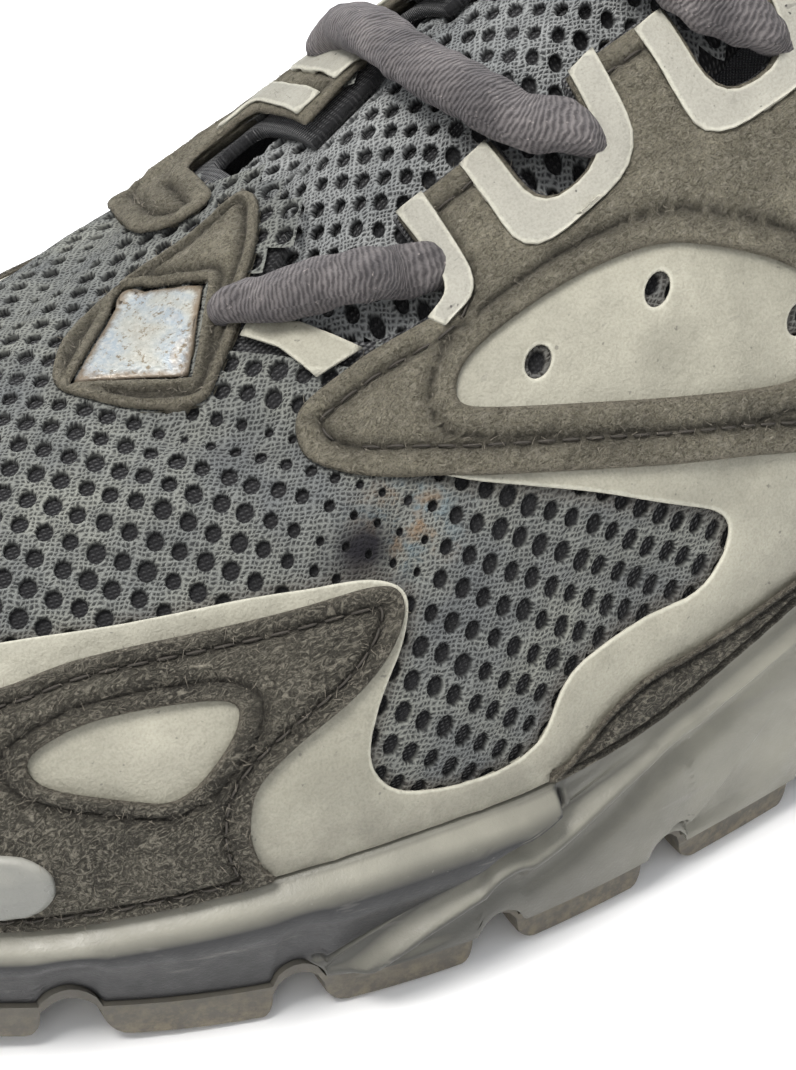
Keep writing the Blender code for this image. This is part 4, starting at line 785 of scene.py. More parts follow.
class Paint:
    """A Principled material whose nodes are added by short calls."""

    def __init__(self, name, roughness=0.5, metallic=0.0):
        self.material = bpy.data.materials.new(name)
        self.material.use_nodes = True
        self.tree = self.material.node_tree
        self.shader = self.tree.nodes["Principled BSDF"]
        self.set("Roughness", roughness)
        self.set("Metallic", metallic)
        self.coordinates = self.tree.nodes.new("ShaderNodeTexCoord")

    def set(self, socket, value):
        """A value or another node's output on one of the shader's sockets."""
        if isinstance(value, bpy.types.NodeSocket):
            self.tree.links.new(value, self.shader.inputs[socket])
        else:
            self.shader.inputs[socket].default_value = value

    def node(self, kind, inputs, **options):
        """A new node, its inputs set or linked."""
        node = self.tree.nodes.new("ShaderNode" + kind)
        for key, value in options.items():
            setattr(node, key, value)
        for key, value in inputs.items():
            if isinstance(value, bpy.types.NodeSocket):
                self.tree.links.new(value, node.inputs[key])
            else:
                node.inputs[key].default_value = value
        return node

    def spots(self, source="Object", scale=(1, 1, 1), turn=0.0):
        """Texture coordinates, stretched and turned."""
        mapping = {"Vector": self.coordinates.outputs[source], "Scale": scale}
        mapping["Rotation"] = (0, 0, turn)
        return self.node("Mapping", mapping).outputs[0]

    def noise(self, size, detail=3.0, roughness=0.55, where=None, distortion=0.0):
        """Noise whose grain has this size in metres."""
        where = where or self.coordinates.outputs["Object"]
        inputs = {"Vector": where, "Scale": 1 / size, "Detail": detail, "Roughness": roughness}
        inputs["Distortion"] = distortion
        return self.node("TexNoise", inputs).outputs["Fac"]

    def wave(self, size, where, distortion=0.0, detail=2.0, direction="X"):
        """Bands across X whose repeat is this size in metres."""
        inputs = {"Vector": where, "Scale": 0.314 / size, "Distortion": distortion, "Detail": detail}
        return self.node("TexWave", inputs, bands_direction=direction).outputs["Fac"]

    def attribute(self, name):
        """One of the marks that make_piece keeps on the mesh's points."""
        return self.node("Attribute", {}, attribute_name=name).outputs["Fac"]

    def ramp(self, value, *stops):
        """Colours or greys over a value, as (place, colour) stops."""
        node = self.node("ValToRGB", {"Fac": value})
        ramp = node.color_ramp
        while len(ramp.elements) < len(stops):
            ramp.elements.new(0.5)
        for element, (place, colour) in zip(ramp.elements, stops):
            element.position = place
            element.color = (colour,) * 3 + (1,) if isinstance(colour, (int, float)) else (*colour, 1)
        return node.outputs[0]

    def mix(self, factor, low, high, blend="MIX"):
        """A colour between low and high."""
        node = self.node("Mix", {}, data_type="RGBA", blend_type=blend)
        for key, value in ((0, factor), (6, low), (7, high)):
            if isinstance(value, bpy.types.NodeSocket):
                self.tree.links.new(value, node.inputs[key])
            elif key:
                node.inputs[key].default_value = (*value, 1) if len(value) == 3 else value
            else:
                node.inputs[key].default_value = value
        return node.outputs[2]

    def sum(self, first, second, operation="ADD"):
        """Two values joined by a sum or another operation."""
        return self.node("Math", {0: first, 1: second}, operation=operation).outputs[0]

    def bump(self, height, distance, strength=1.0, normal=None):
        """A bump of this depth in metres, chained after another one."""
        inputs = {"Height": height, "Distance": distance, "Strength": strength}
        if normal:
            inputs["Normal"] = normal
        return self.node("Bump", inputs).outputs[0]


def suede_paint(name, dark, light, nap=1.0):
    """Nap in short tangled fibres, with fine pale dirt caught in it, worn light along the edges, painted
    shade in the nap's hollows and painted shade along the sunk seam line.
    """
    paint = Paint(name, 0.95)
    blotch = paint.noise(0.009, 4, 0.6)
    fine = paint.noise(0.00060, 4, 0.75, distortion=1.6)
    threads = paint.noise(0.0016, 4, 0.75, paint.spots("Object", (1.0, 2.6, 1.4), 0.5), 2.5)
    tone = paint.mix(paint.ramp(blotch, (0.35, 0.0), (0.68, 1.0)), dark, light)
    shade = paint.mix(1.0, tone, (0.34, 0.33, 0.32), "MULTIPLY")
    tone = paint.mix(paint.ramp(fine, (0.38, 0.0), (0.58, 1.0)), shade, tone)
    tone = paint.mix(paint.ramp(threads, (0.48, 0.0), (0.62, 0.80)), tone, (0.36, 0.332, 0.265))
    speck = paint.ramp(paint.noise(0.00055, 2, 0.8), (0.66, 0.0), (0.74, 1.0))
    # Pale dust specks caught in the nap.
    dust_and_light = paint.ramp(paint.noise(0.016, 3, 0.65), (0.40, 0.15), (0.70, 0.75))
    tone = paint.mix(paint.sum(speck, dust_and_light, "MULTIPLY"), tone, (0.34, 0.31, 0.26))
    rim = paint.attribute("rim")
    patchy = paint.ramp(fine, (0.40, 0.2), (0.6, 1.0))
    rubbed = paint.sum(paint.ramp(rim, (0.0, 0.55), (0.12, 0.0)), patchy, "MULTIPLY")
    tone = paint.mix(rubbed, tone, (0.24, 0.21, 0.165))
    # Painted shade: near black along the sunk seam line.
    groove_and_shade = paint.attribute("groove_and_shade")
    tone = paint.mix(paint.sum(groove_and_shade, 0.75, "MULTIPLY"), tone, (0.015, 0.013, 0.012))
    paint.set("Base Color", tone)
    paint.set("Specular IOR Level", 0.15)
    paint.set("Sheen Weight", 0.18 * nap)
    paint.set("Sheen Roughness", 0.6)
    paint.set("Sheen Tint", (0.60, 0.56, 0.48, 1))
    bump = paint.bump(fine, 0.0007 * nap)
    paint.set("Normal", paint.bump(threads, 0.0010 * nap, 1.0, bump))
    return paint.material


def synthetic_paint(name, base, shade, dirt=0.5):
    """Coated fabric: a fine embossed grain with painted shade in its hollows, dark specks of dirt, dirt and
    painted shade low down, scratches and a pale cut edge.
    """
    paint = Paint(name, 0.55)
    grain = paint.noise(0.00032, 2, 0.6)
    cloud = paint.noise(0.014, 4, 0.62)
    tone = paint.mix(paint.ramp(cloud, (0.32, 1.0), (0.66, 0.0)), base, shade)
    # Painted shade in the hollows of the grain.
    grain_shade = paint.mix(1.0, tone, (0.62, 0.61, 0.58), "MULTIPLY")
    tone = paint.mix(paint.ramp(grain, (0.34, 0.38), (0.60, 0.0)), tone, grain_shade)
    specks = paint.ramp(paint.noise(0.0011, 2, 0.7), (0.69, 0.0), (0.74, 1.0))
    tone = paint.mix(paint.sum(specks, dirt, "MULTIPLY"), tone, (0.05, 0.045, 0.04))
    streak = paint.noise(0.0016, 2, 0.6, paint.spots("Object", (0.16, 1.5, 1.0), 0.35))
    scratch = paint.sum(paint.ramp(streak, (0.70, 0.0), (0.73, 1.0)), 0.35 * dirt, "MULTIPLY")
    tone = paint.mix(scratch, tone, (0.06, 0.055, 0.05))
    rim = paint.attribute("rim")
    ragged = paint.sum(rim, paint.sum(paint.noise(0.0007, 3, 0.7), 0.10, "MULTIPLY"))
    tone = paint.mix(paint.ramp(ragged, (0.06, 0.70), (0.13, 0.0)), tone, (0.62, 0.60, 0.50))
    # Dirt and painted shade: darker low down near the sole, in patches.
    near = paint.attribute("grime")
    grime = paint.sum(near, paint.ramp(paint.noise(0.003, 4, 0.7), (0.3, 0.3), (0.7, 1.0)), "MULTIPLY")
    tone = paint.mix(grime, tone, (0.10, 0.09, 0.075))
    paint.set("Base Color", tone)
    paint.set("Roughness", paint.ramp(cloud, (0.3, 0.52), (0.7, 0.72)))
    paint.set("Specular IOR Level", 0.4)
    lumps = paint.bump(paint.noise(0.0022, 3, 0.6), 0.00025)
    paint.set("Normal", paint.bump(grain, 0.00012, 0.8, lumps))
    return paint.material


def knit_paint(name, yarn, shade, smear=0.0):
    """Fine chevron stitches along the yarn between the holes, painted shade between the stitches, and
    painted shade near black down in the holes.
    """
    paint = Paint(name, 0.9)
    hole_shade = paint.attribute("hole_shade")
    wobble = paint.noise(0.0024, 2, 0.5)
    left = paint.wave(0.00052, paint.spots("UV", (1, 1, 1), 1.05), 7.0, 3)
    right = paint.wave(0.00060, paint.spots("UV", (1, 1, 1), -0.75), 9.0, 3)
    stitch = paint.sum(left, right, "MAXIMUM")
    fibre = paint.noise(0.00028, 2, 0.7)
    height = paint.sum(paint.sum(stitch, 0.7, "MULTIPLY"), paint.sum(fibre, 0.6, "MULTIPLY"))
    tone = paint.mix(paint.ramp(paint.noise(0.013, 3, 0.6), (0.35, 0.0), (0.65, 1.0)), yarn, shade)
    shadow = paint.ramp(height, (0.38, 1.0), (0.92, 0.0))
    tone = paint.mix(shadow, tone, paint.mix(1.0, tone, (0.20, 0.20, 0.21), "MULTIPLY"))
    lint = paint.ramp(paint.noise(0.0004, 2, 0.8), (0.68, 0.0), (0.76, 0.6))
    tone = paint.mix(lint, tone, (0.30, 0.30, 0.28))
    tone = paint.mix(paint.ramp(wobble, (0.3, 0.25), (0.7, 0.0)), tone, (0.03, 0.032, 0.036))
    if smear:
        burn = paint.attribute("smear")
        flecks = paint.ramp(paint.noise(0.0021, 3, 0.7), (0.42, 0.0), (0.62, 1.0))
        colours = (0.38, (0.055, 0.085, 0.10)), (0.5, (0.15, 0.20, 0.22)), (0.60, (0.20, 0.14, 0.09))
        tint = paint.ramp(paint.noise(0.0046, 3, 0.6), *colours)
        tone = paint.mix(paint.sum(burn, flecks, "MULTIPLY"), tone, tint)
        tone = paint.mix(paint.attribute("scorch"), tone, (0.012, 0.011, 0.014))
    # Dirt and painted shade along the grey layer's edge and inside the vents.
    near = paint.attribute("grime")
    tone = paint.mix(paint.sum(near, 0.45, "MULTIPLY"), tone, (0.075, 0.062, 0.052))
    # Painted shade: near black down in the holes.
    tone = paint.mix(hole_shade, tone, (0.004, 0.004, 0.005))
    paint.set("Base Color", tone)
    paint.set("Specular IOR Level", 0.2)
    paint.set("Sheen Weight", 0.05)
    paint.set("Normal", paint.bump(height, 0.00034, 1.0))
    return paint.material


def rubber_paint(name, base, dusty_and_lit, mud=0.0, roughness=0.42):
    """Moulded rubber: soft sheen, pale dirt and painted light where it faces up and on the side behind the
    bumper, scuffs, dried mud low down, and painted shade in its grooves.
    """
    paint = Paint(name, roughness)
    cloud = paint.noise(0.020, 4, 0.6)
    # Pale dust and painted light: faces that look up, and the side behind the bumper, turn pale.
    facing = paint.node("SeparateXYZ", {0: paint.node("NewGeometry", {}).outputs["Normal"]}).outputs[2]
    dust_and_light_share = paint.sum(paint.ramp(facing, (0.26, 0.0), (0.80, 1.0)), paint.attribute("dust_and_light"), "MAXIMUM")
    uneven = paint.ramp(cloud, (0.30, 0.55), (0.70, 1.0))
    tone = paint.mix(paint.sum(dust_and_light_share, uneven, "MULTIPLY"), base, dusty_and_lit)
    specks = paint.ramp(paint.noise(0.0009, 3, 0.75), (0.66, 0.0), (0.73, 0.8))
    patch = paint.ramp(paint.noise(0.011, 2, 0.6), (0.45, 0.0), (0.72, 1.0))
    tone = paint.mix(paint.sum(specks, patch, "MULTIPLY"), tone, (0.30, 0.29, 0.26))
    streak = paint.noise(0.0035, 3, 0.6, paint.spots("Object", (0.20, 1.0, 1.6), 0.1))
    scuff = paint.ramp(streak, (0.63, 0.0), (0.72, 0.35))
    tone = paint.mix(scuff, tone, (0.22, 0.21, 0.19))
    if mud:
        height = paint.node("SeparateXYZ", {0: paint.coordinates.outputs["Object"]}).outputs[2]
        splash = paint.sum(height, paint.sum(paint.noise(0.003, 4, 0.7), 0.006, "MULTIPLY"))
        low = paint.ramp(splash, (0.004, 1.0), (0.011, 0.0))
        mottled = paint.ramp(paint.noise(0.0017, 4, 0.75), (0.42, 0.15), (0.62, 1.0))
        dried = paint.sum(paint.sum(low, mottled, "MULTIPLY"), mud, "MULTIPLY")
        tone = paint.mix(dried, tone, (0.20, 0.17, 0.12))
    # Painted shade: near black in the grooves and along the top edge.
    groove_and_shade = paint.attribute("groove_and_shade")
    tone = paint.mix(paint.sum(groove_and_shade, 0.8, "MULTIPLY"), tone, (0.010, 0.010, 0.010))
    paint.set("Base Color", tone)
    rough = paint.sum(paint.ramp(paint.noise(0.004, 4, 0.7), (0.35, 0.0), (0.7, 1.0)), 0.22, "MULTIPLY")
    paint.set("Roughness", paint.sum(rough, roughness - 0.06))
    lumps = paint.bump(paint.noise(0.006, 2, 0.5), 0.00012)
    paint.set("Normal", paint.bump(paint.noise(0.00045, 3, 0.7), 0.00008, 0.9, lumps))
    return paint.material


def cord_paint(name, base, light):
    """A knitted tube: ribs along it, slanted stitches, rubbed pale in patches."""
    paint = Paint(name, 0.85)
    ribs = paint.wave(0.00050, paint.spots("UV", (1, 1, 1), 0.12), 5.0, 3)
    slant = paint.wave(0.0013, paint.spots("UV", (1, 1, 1), 0.9), 6.0, 3)
    fibre = paint.noise(0.00035, 3, 0.75)
    stitch = paint.sum(paint.sum(ribs, 0.55, "MULTIPLY"), paint.sum(slant, 0.25, "MULTIPLY"))
    height = paint.sum(stitch, paint.sum(fibre, 0.7, "MULTIPLY"))
    tone = paint.mix(paint.ramp(paint.noise(0.006, 3, 0.6), (0.35, 0.0), (0.68, 1.0)), base, light)
    shade = paint.mix(1.0, tone, (0.34, 0.33, 0.34), "MULTIPLY")
    tone = paint.mix(paint.ramp(height, (0.45, 1.0), (0.95, 0.0)), tone, shade)
    fluff = paint.ramp(paint.noise(0.0007, 2, 0.8), (0.66, 0.0), (0.76, 0.8))
    tone = paint.mix(fluff, tone, (0.36, 0.32, 0.30))
    paint.set("Base Color", tone)
    paint.set("Sheen Weight", 0.2)
    paint.set("Sheen Roughness", 0.5)
    paint.set("Sheen Tint", (0.62, 0.58, 0.60, 1))
    paint.set("Normal", paint.bump(height, 0.00035, 1.0))
    return paint.material


def film_paint(name):
    """Pearly film: pale with faint colours that shift over the surface, painted glints, pitted with dirt.
    """
    paint = Paint(name, 0.30, 0.25)
    sweep = paint.noise(0.011, 2, 0.5, distortion=1.2)
    warm, pale = (0.30, (0.30, 0.255, 0.19)), (0.45, (0.33, 0.335, 0.305))
    cool, rosy = (0.58, (0.27, 0.31, 0.34)), (0.72, (0.34, 0.285, 0.23))
    tone = paint.ramp(sweep, warm, pale, cool, rosy)
    # Painted glints: pale specks over the film.
    painted_glint = paint.ramp(paint.noise(0.0006, 2, 0.8), (0.46, 0.0), (0.66, 0.55))
    tone = paint.mix(painted_glint, tone, (0.46, 0.45, 0.41))
    # Brown specks of dirt pitting the film.
    grime = paint.ramp(paint.noise(0.0009, 3, 0.8), (0.55, 0.0), (0.66, 0.85))
    tone = paint.mix(grime, tone, (0.13, 0.09, 0.04))
    ragged = paint.sum(paint.attribute("rim"), paint.sum(paint.noise(0.0012, 3, 0.7), 0.3, "MULTIPLY"))
    tone = paint.mix(paint.ramp(ragged, (0.20, 0.85), (0.34, 0.0)), tone, (0.14, 0.10, 0.06))
    paint.set("Base Color", tone)
    paint.set("Roughness", paint.ramp(paint.noise(0.0014, 3, 0.7), (0.3, 0.25), (0.7, 0.6)))
    paint.set("Normal", paint.bump(paint.noise(0.0012, 3, 0.7), 0.00015))
    return paint.material


def fibre_paint(name, colour):
    """Loose fibres and thread, darker in places."""
    paint = Paint(name, 0.8)
    tone = paint.mix(paint.noise(0.004, 2, 0.6), tuple(0.45 * c for c in colour), colour)
    paint.set("Base Color", tone)
    return paint.material


def lining_paint(name, base):
    """Brushed lining cloth with a fine square weave, painted shade in the weave's low parts."""
    paint = Paint(name, 0.95)
    warp = paint.wave(0.0006, paint.spots("UV"), 1.0, 2)
    weft = paint.wave(0.0006, paint.spots("UV"), 1.0, 2, "Y")
    height = paint.sum(paint.sum(warp, weft, "MULTIPLY"), paint.noise(0.0005, 3, 0.7))
    tone = paint.mix(paint.noise(0.02, 4, 0.6), tuple(0.6 * c for c in base), base)
    # Painted shade in the low parts of the weave.
    tone = paint.mix(paint.ramp(height, (0.35, 0.6), (0.9, 0.0)), tone, tuple(0.3 * c for c in base))
    paint.set("Base Color", tone)
    paint.set("Sheen Weight", 0.2)
    paint.set("Normal", paint.bump(height, 0.0003, 0.9))
    return paint.material


# Building pieces


def ripple(places, size, seed, waves=7):
    """Smooth bumps between -1 and 1 over places, of about this size."""
    draw = np.random.default_rng(seed)
    places = np.asarray(places, float)
    total = np.zeros(len(places))
    for _ in range(waves):
        way = draw.normal(size=places.shape[1])
        way *= 2 * math.pi / (size * np.linalg.norm(way)) * draw.uniform(0.6, 1.5)
        total += np.sin(places @ way + draw.uniform(0, 2 * math.pi))
    return total / math.sqrt(waves * 2)


def make_piece(name, places, faces, paints, uv=None, marks=None, weld=1e-6, sharp=60):
    """A mesh object from places and faces, with UVs in metres and point marks for the paint."""
    mesh = bpy.data.meshes.new(name)
    places = np.asarray(places, float)
    faces = [tuple(int(i) for i in face) for face in faces]
    mesh.from_pydata(places.tolist(), [], faces)
    for paint in paints if isinstance(paints, (list, tuple)) else [paints]:
        mesh.materials.append(paint)
    if uv is not None:
        layer = mesh.uv_layers.new(name="flat")
        corners = np.empty(len(mesh.loops), np.int32)
        mesh.loops.foreach_get("vertex_index", corners)
        layer.data.foreach_set("uv", np.asarray(uv, float)[corners].ravel())
    for key, values in (marks or {}).items():
        layer = mesh.attributes.new(key, "FLOAT", "POINT")
        layer.data.foreach_set("value", np.asarray(values, np.float32))
    if weld:
        shell = bmesh.new()
        shell.from_mesh(mesh)
        bmesh.ops.remove_doubles(shell, verts=shell.verts, dist=weld)
        bmesh.ops.dissolve_degenerate(shell, dist=1e-7, edges=shell.edges)
        loose = [vert for vert in shell.verts if not vert.link_faces]
        bmesh.ops.delete(shell, geom=loose, context="VERTS")
        shell.to_mesh(mesh)
        shell.free()
    mesh.shade_smooth()
    if sharp:
        mesh.set_sharp_from_angle(angle=math.radians(sharp))
    piece = bpy.data.objects.new(name, mesh)
    bpy.context.scene.collection.objects.link(piece)
    return piece


def dress(piece, slot, *nodes):
    """The piece rides with the shoe and stands for CAD nodes, which it hides; slot is not used."""
    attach(piece, "root")
    if nodes:
        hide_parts(*nodes)
    return piece


def solidify(piece, thickness, inner_slot=0):
    """Gives the piece a wall inwards from its outer face."""
    wall = piece.modifiers.new("wall", "SOLIDIFY")
    wall.thickness = thickness
    wall.offset = -1
    wall.use_quality_normals = True
    wall.material_offset = inner_slot
    return piece


def line_distance(spots, line):
    """Distance of each spot to an open line."""
    spots = np.asarray(spots, float)
    nearest = np.full(len(spots), 1e9)
    for start, end in zip(line[:-1], line[1:]):
        side = np.asarray(end) - start
        t = np.clip((spots - start) @ side / (side @ side), 0, 1)
        nearest = np.minimum(nearest, np.linalg.norm(spots - start - t[:, None] * side, axis=1))
    return nearest


def crease(u, v):
    """How far the worn upper has sunk (negative) or bulged along its creases."""
    shape = np.broadcast(u, v).shape
    u, v = (np.broadcast_to(x, shape).ravel() for x in (wrapped(u), v))
    spots = np.column_stack([u, np.minimum(v, 1.0)]) * SIDE_METRIC
    depth = np.zeros(len(spots))
    for width, rise, line in CREASES:
        line = np.array(line) * SIDE_METRIC
        depth += rise * np.exp(-((line_distance(spots, line) / width) ** 2))
    depth += 0.00022 * ripple(spots, 0.016, 3) * ease(v, 0.02, 0.2)
    return depth.reshape(shape)


def worn(u, v, level):
    """Places this far above the worn upper's outside."""
    fade = ease(v, 0.0, 0.10)
    return raised(u, v, np.asarray(level) + crease(u, v) * fade)


def signed_distance(spots, loops):
    """Distance into the area between the loops; negative outside."""
    return np.where(inside(spots, loops), 1, -1) * clearance(spots, loops)


def chart_loops(loops, chart=side_chart, steps=5, step=0.0015):
    """Loops of corners as rounded and evenly divided flat loops."""
    return [np.array(divided(chart(rounded(loop, SIDE_METRIC, steps)), step)) for loop in loops]


def ring_inside(loop, loops, distance):
    """Spots along a loop, this far into the area."""
    tangent = np.roll(loop, -1, axis=0) - np.roll(loop, 1, axis=0)
    length = np.linalg.norm(tangent, axis=1)
    keep = length > 1e-9
    tangent = tangent[keep] / length[keep][:, None]
    normal = np.column_stack([-tangent[:, 1], tangent[:, 0]])
    found = np.concatenate([loop[keep] + normal * distance, loop[keep] - normal * distance])
    return found[signed_distance(found, loops) > 0.93 * distance]


def even_spots(loops, step, margin):
    """A staggered grid of spots between the loops, clear of their edges."""
    every = np.concatenate(loops)
    xs = np.arange(every[:, 0].min(), every[:, 0].max(), step)
    ys = np.arange(every[:, 1].min(), every[:, 1].max(), step * 0.87)
    grid = np.stack(np.meshgrid(xs, ys), axis=-1)
    grid[1::2, :, 0] += step / 2
    spots = grid.reshape(-1, 2)
    return spots[signed_distance(spots, loops) > margin]


def overlay(name, loops, levels, thickness, paint, step=0.0014, edge=0.0007, seam=0.0, top=False,
            bulge=0.0, seed=1):
    """A soft sheet between loops of corners: rounded rim, sunk seam line with painted shade in it, worn
    surface.

    levels(u, v) gives the height of the sheet's outer face over the wall.
    """
    chart = top_chart if top else side_chart
    loops = chart_loops(loops, chart, step=min(step, 0.0016))
    rings = [ring_inside(loop, loops, distance) for loop in loops for distance in (0.3 * edge, edge)]
    if seam:
        shifts = (-0.0005, 0, 0.0005)
        rings += [ring_inside(loop, loops, seam + shift) for loop in loops for shift in shifts]
    spots = np.concatenate([even_spots(loops, step, edge + 0.35 * step)] + rings)
    found, faces = triangulated(loops, spots)
    reach = clearance(found, loops)
    u, v = (from_top if top else from_chart)(found).T
    level = levels(u, v)
    near = np.clip(reach / edge, 0, 1)
    level = level - edge * (1 - np.sqrt(1 - (1 - near) ** 2))
    # The seam's groove: it sinks the sheet there and marks where the painted shade goes.
    groove_and_shade = np.zeros(len(found))
    if seam:
        groove_and_shade = np.exp(-(((reach - seam) / 0.00060) ** 2))
        swell = ease(reach, 0, seam) * (1 - ease(reach, seam * 0.6, seam))
        level = level - 0.00085 * groove_and_shade + 0.00022 * swell
    level = level + bulge * ease(reach, 0.001, 0.006) + 0.00007 * ripple(found, 0.0028, seed)
    places = worn(u, v, level)
    if top:
        faces = faces[:, ::-1]
    # Marks for the paint: the worn rim, painted shade in the seam line, dirt and painted shade low down.
    marks = {"rim": np.clip(reach / 0.006, 0, 1), "groove_and_shade": groove_and_shade, "grime": dirt_and_shade_mark(u, v)}
    piece = make_piece(name, places, faces, paint, found, marks)
    return solidify(piece, thickness)


def dirt_and_shade_mark(u, v):
    """Dirt and painted shade: darker low down near the sole, in random patches."""
    low = 1 - ease(v, 0.0, 0.16)
    patchy = 0.5 + 0.5 * ripple(np.column_stack([u, v]) * SIDE_METRIC, 0.010, 11)
    return np.clip(0.45 * low + 0.16 * patchy, 0, 1)


# Layers of the upper


def grey_loops():
    """The grey layer that wraps the toe and both sides, with the bay for the mesh."""
    outline = [(u, v, 0.004) for u, v in OVERLAY_TOP]
    loop = [(0.0, 0.56)] + outline + [(0.70, 0.50, 0.01), (0.715, LAYER_FOOT, 0.004)]
    loop += [(u, LAYER_FOOT) for u in (0.60, 0.50, 0.40, 0.30, 0.20, 0.12, 0.06)]
    loop += [(0.0, LAYER_FOOT)]
    other = [(-corner[0],) + tuple(corner[1:]) for corner in loop[1:-1]]
    holes = []
    for side in (1, -1):
        for u, v in VENTS:
            turns = np.radians(np.arange(20) * 18)
            reach = np.column_stack([np.cos(turns), np.sin(turns)]) * VENT_DIAMETER / 2
            holes.append([tuple(spot) for spot in (side * u, v) + reach / SIDE_METRIC])
    return [loop + other[::-1]] + holes


GREY_CHARTS = chart_loops(grey_loops(), step=0.004)


def over_grey(height):
    """Levels this far over the grey layer, or over the wall where that layer ends."""
    def levels(u, v):
        spots = side_chart(np.column_stack([u, v]))
        on_grey = ease(signed_distance(spots, GREY_CHARTS), -0.0016, 0.0004)
        return LAYER_HEIGHTS["grey"] * on_grey + height
    return levels


def over_wall(height):
    """Levels this far over the wall everywhere."""
    def levels(u, v):
        return np.full(len(u), height)
    return levels


def toe_loops():
    """The suede toe cap, with an eye-shaped hole on each side."""
    loop = [(0.0, 0.475)] + [(u, v, 0.004) for u, v in TOE_CAP]
    loop += [(u, LAYER_FOOT) for u in (0.20, 0.16, 0.12, 0.08, 0.04)] + [(0.0, LAYER_FOOT)]
    other = [(-corner[0],) + tuple(corner[1:]) for corner in loop[1:-1]]
    eye = [(u, v, 0.005) for u, v in TOE_EYE]
    return [loop + other[::-1], eye, mirrored(eye)]


def heel_loops():
    """The suede heel counter, which goes round the heel in one piece."""
    loop = [(u, v, 0.010) for u, v in HEEL_COUNTER]
    loop += [(2 - u, v, 0.010) for u, v in reversed(HEEL_COUNTER)]
    loop += [(2 - 0.605, LAYER_FOOT)]
    loop += [(u, LAYER_FOOT) for u in np.linspace(2 - 0.605, 0.605, 15)[1:]]
    return [loop[::-1]]


def eyestay_loops(side):
    """A suede saddle beside the throat, with its notches and its leaf-shaped window."""
    front = SADDLE_FRONT if side > 0 else SADDLE_FRONT_MEDIAL
    notches = LATERAL_NOTCHES if side > 0 else MEDIAL_NOTCHES[1:]
    tab_end = LATERAL_TAB_END if side > 0 else MEDIAL_TAB_END
    loop = list(front)
    for notch in notches:
        loop += offset_notch(notch, tab_end, side, 0.0004)
    loop += [(side * u, v, r) for u, v, r in SADDLE_BACK]
    loop += [(side * u, v, r) for u, v, r in SADDLE_FOOT]
    window = [(side * u, v, 0.006) for u, v in SADDLE_WINDOW]
    return [loop, window] if side > 0 else [loop[::-1], window[::-1]]


def guide_loops(notch, tab_end, side):
    """The pale strip that follows a lace notch."""
    inner = offset_notch(notch, tab_end, side, 0.0009)
    outer = offset_notch(notch, tab_end, side, 0.0009 + GUIDE_STRIP)
    return [inner + outer[::-1]]


def throat_loop(side):
    """The throat's edge on one side."""
    return lateral_throat() if side > 0 else medial_throat()


def upper_loop():
    """The upper's whole outline: foot, heel seam, collar, throat and ridge."""
    ridge = [float(s) for s in np.linspace(TOE_FAN, THROAT_FRONT, 40)]
    edges = []
    for side in (1, -1):
        corners = [(side * THROAT_FRONT, 1.0)] + throat_loop(side) + [(side * 0.655, 1.0)]
        edge = rounded(corners, SIDE_METRIC, 5)
        edges.append(divided(side_chart(edge), 0.002, closed=False))
    collar = [float(s) for s in np.linspace(0.655, 1.0, 60)]
    heel = [float(v) for v in np.linspace(-1, 1.0, 50)]
    bottom = [float(s) for s in np.linspace(0, 1, 150)]
    loop = [(-s, -1.0) for s in reversed(bottom)] + [(s, -1.0) for s in bottom[1:]]
    loop += [(1.0, v) for v in heel[1:]]
    loop += [(s, 1.0) for s in reversed(collar[:-1])]
    loop += [tuple(spot) for spot in from_chart(edges[0][-2:0:-1])]
    loop += [(s, 1.0) for s in reversed(ridge)] + [(-s, 1.0) for s in ridge]
    loop += [tuple(spot) for spot in from_chart(edges[1][1:-1])]
    loop += [(-s, 1.0) for s in collar] + [(-1.0, v) for v in reversed(heel[1:-1])]
    return np.array(loop)


def padding(u, v):
    """Thickness of the upper's wall: padded at the collar, thin in front."""
    along = np.abs(u)
    pad = ease(along, 0.615, 0.70) * ease(v, 0.20, 0.50)
    edge = 1 - 0.62 * ease(v, 0.93, 1.0) * ease(along, 0.62, 0.66)
    return (WALL + (COLLAR_PAD - WALL) * pad) * edge


def collar_roll(u, v):
    """How far the collar's outside rolls inwards along its top edge."""
    return -COLLAR_CURL * ease(v, 0.92, 1.0) * ease(np.abs(u), 0.62, 0.68)


def add_wall(paint, lining):
    """The dark cloth under the knit, near black as painted shade behind its holes, with the padded collar
    and the lining inside.
    """
    loop = upper_loop()
    chart = side_chart(loop)
    step = 0.0034
    spots = even_spots([chart], step, 0.5 * step)
    found, faces = triangulated([chart], spots)
    u, v = from_chart(found).T
    level = -BACKING_DEPTH + collar_roll(u, v)
    level = level + BACKING_DEPTH * ease(v, 0.90, 0.97) * ease(np.abs(u), 0.60, 0.64)
    places = worn(u, v, level)
    top = v > 1 - 1e-6
    ridge = top & (np.abs(u) < 0.6)
    places[ridge] = upper_point(u[ridge], v[ridge]) - (0, 0, BACKING_DEPTH)
    heel = np.abs(np.abs(u) - 1) < 1e-9
    places[heel] = worn(np.ones(heel.sum()), v[heel], level[heel])
    piece = make_piece("upper_wall", places, faces, [paint, lining], found, weld=0)
    group = piece.vertex_groups.new(name="padding")
    thick = np.maximum(padding(u, v) - BACKING_DEPTH, 0.0012) / COLLAR_PAD
    for i, value in enumerate(thick):
        group.add([i], float(value), "REPLACE")
    shell = bmesh.new()
    shell.from_mesh(piece.data)
    bmesh.ops.remove_doubles(shell, verts=shell.verts, dist=4e-6)
    shell.to_mesh(piece.data)
    shell.free()
    solidify(piece, COLLAR_PAD, 1)
    piece.modifiers["wall"].vertex_group = "padding"
    dress(piece, "lining", "upper")


# The knit: a cloth map measured from the ridge, and cells with a hole in each


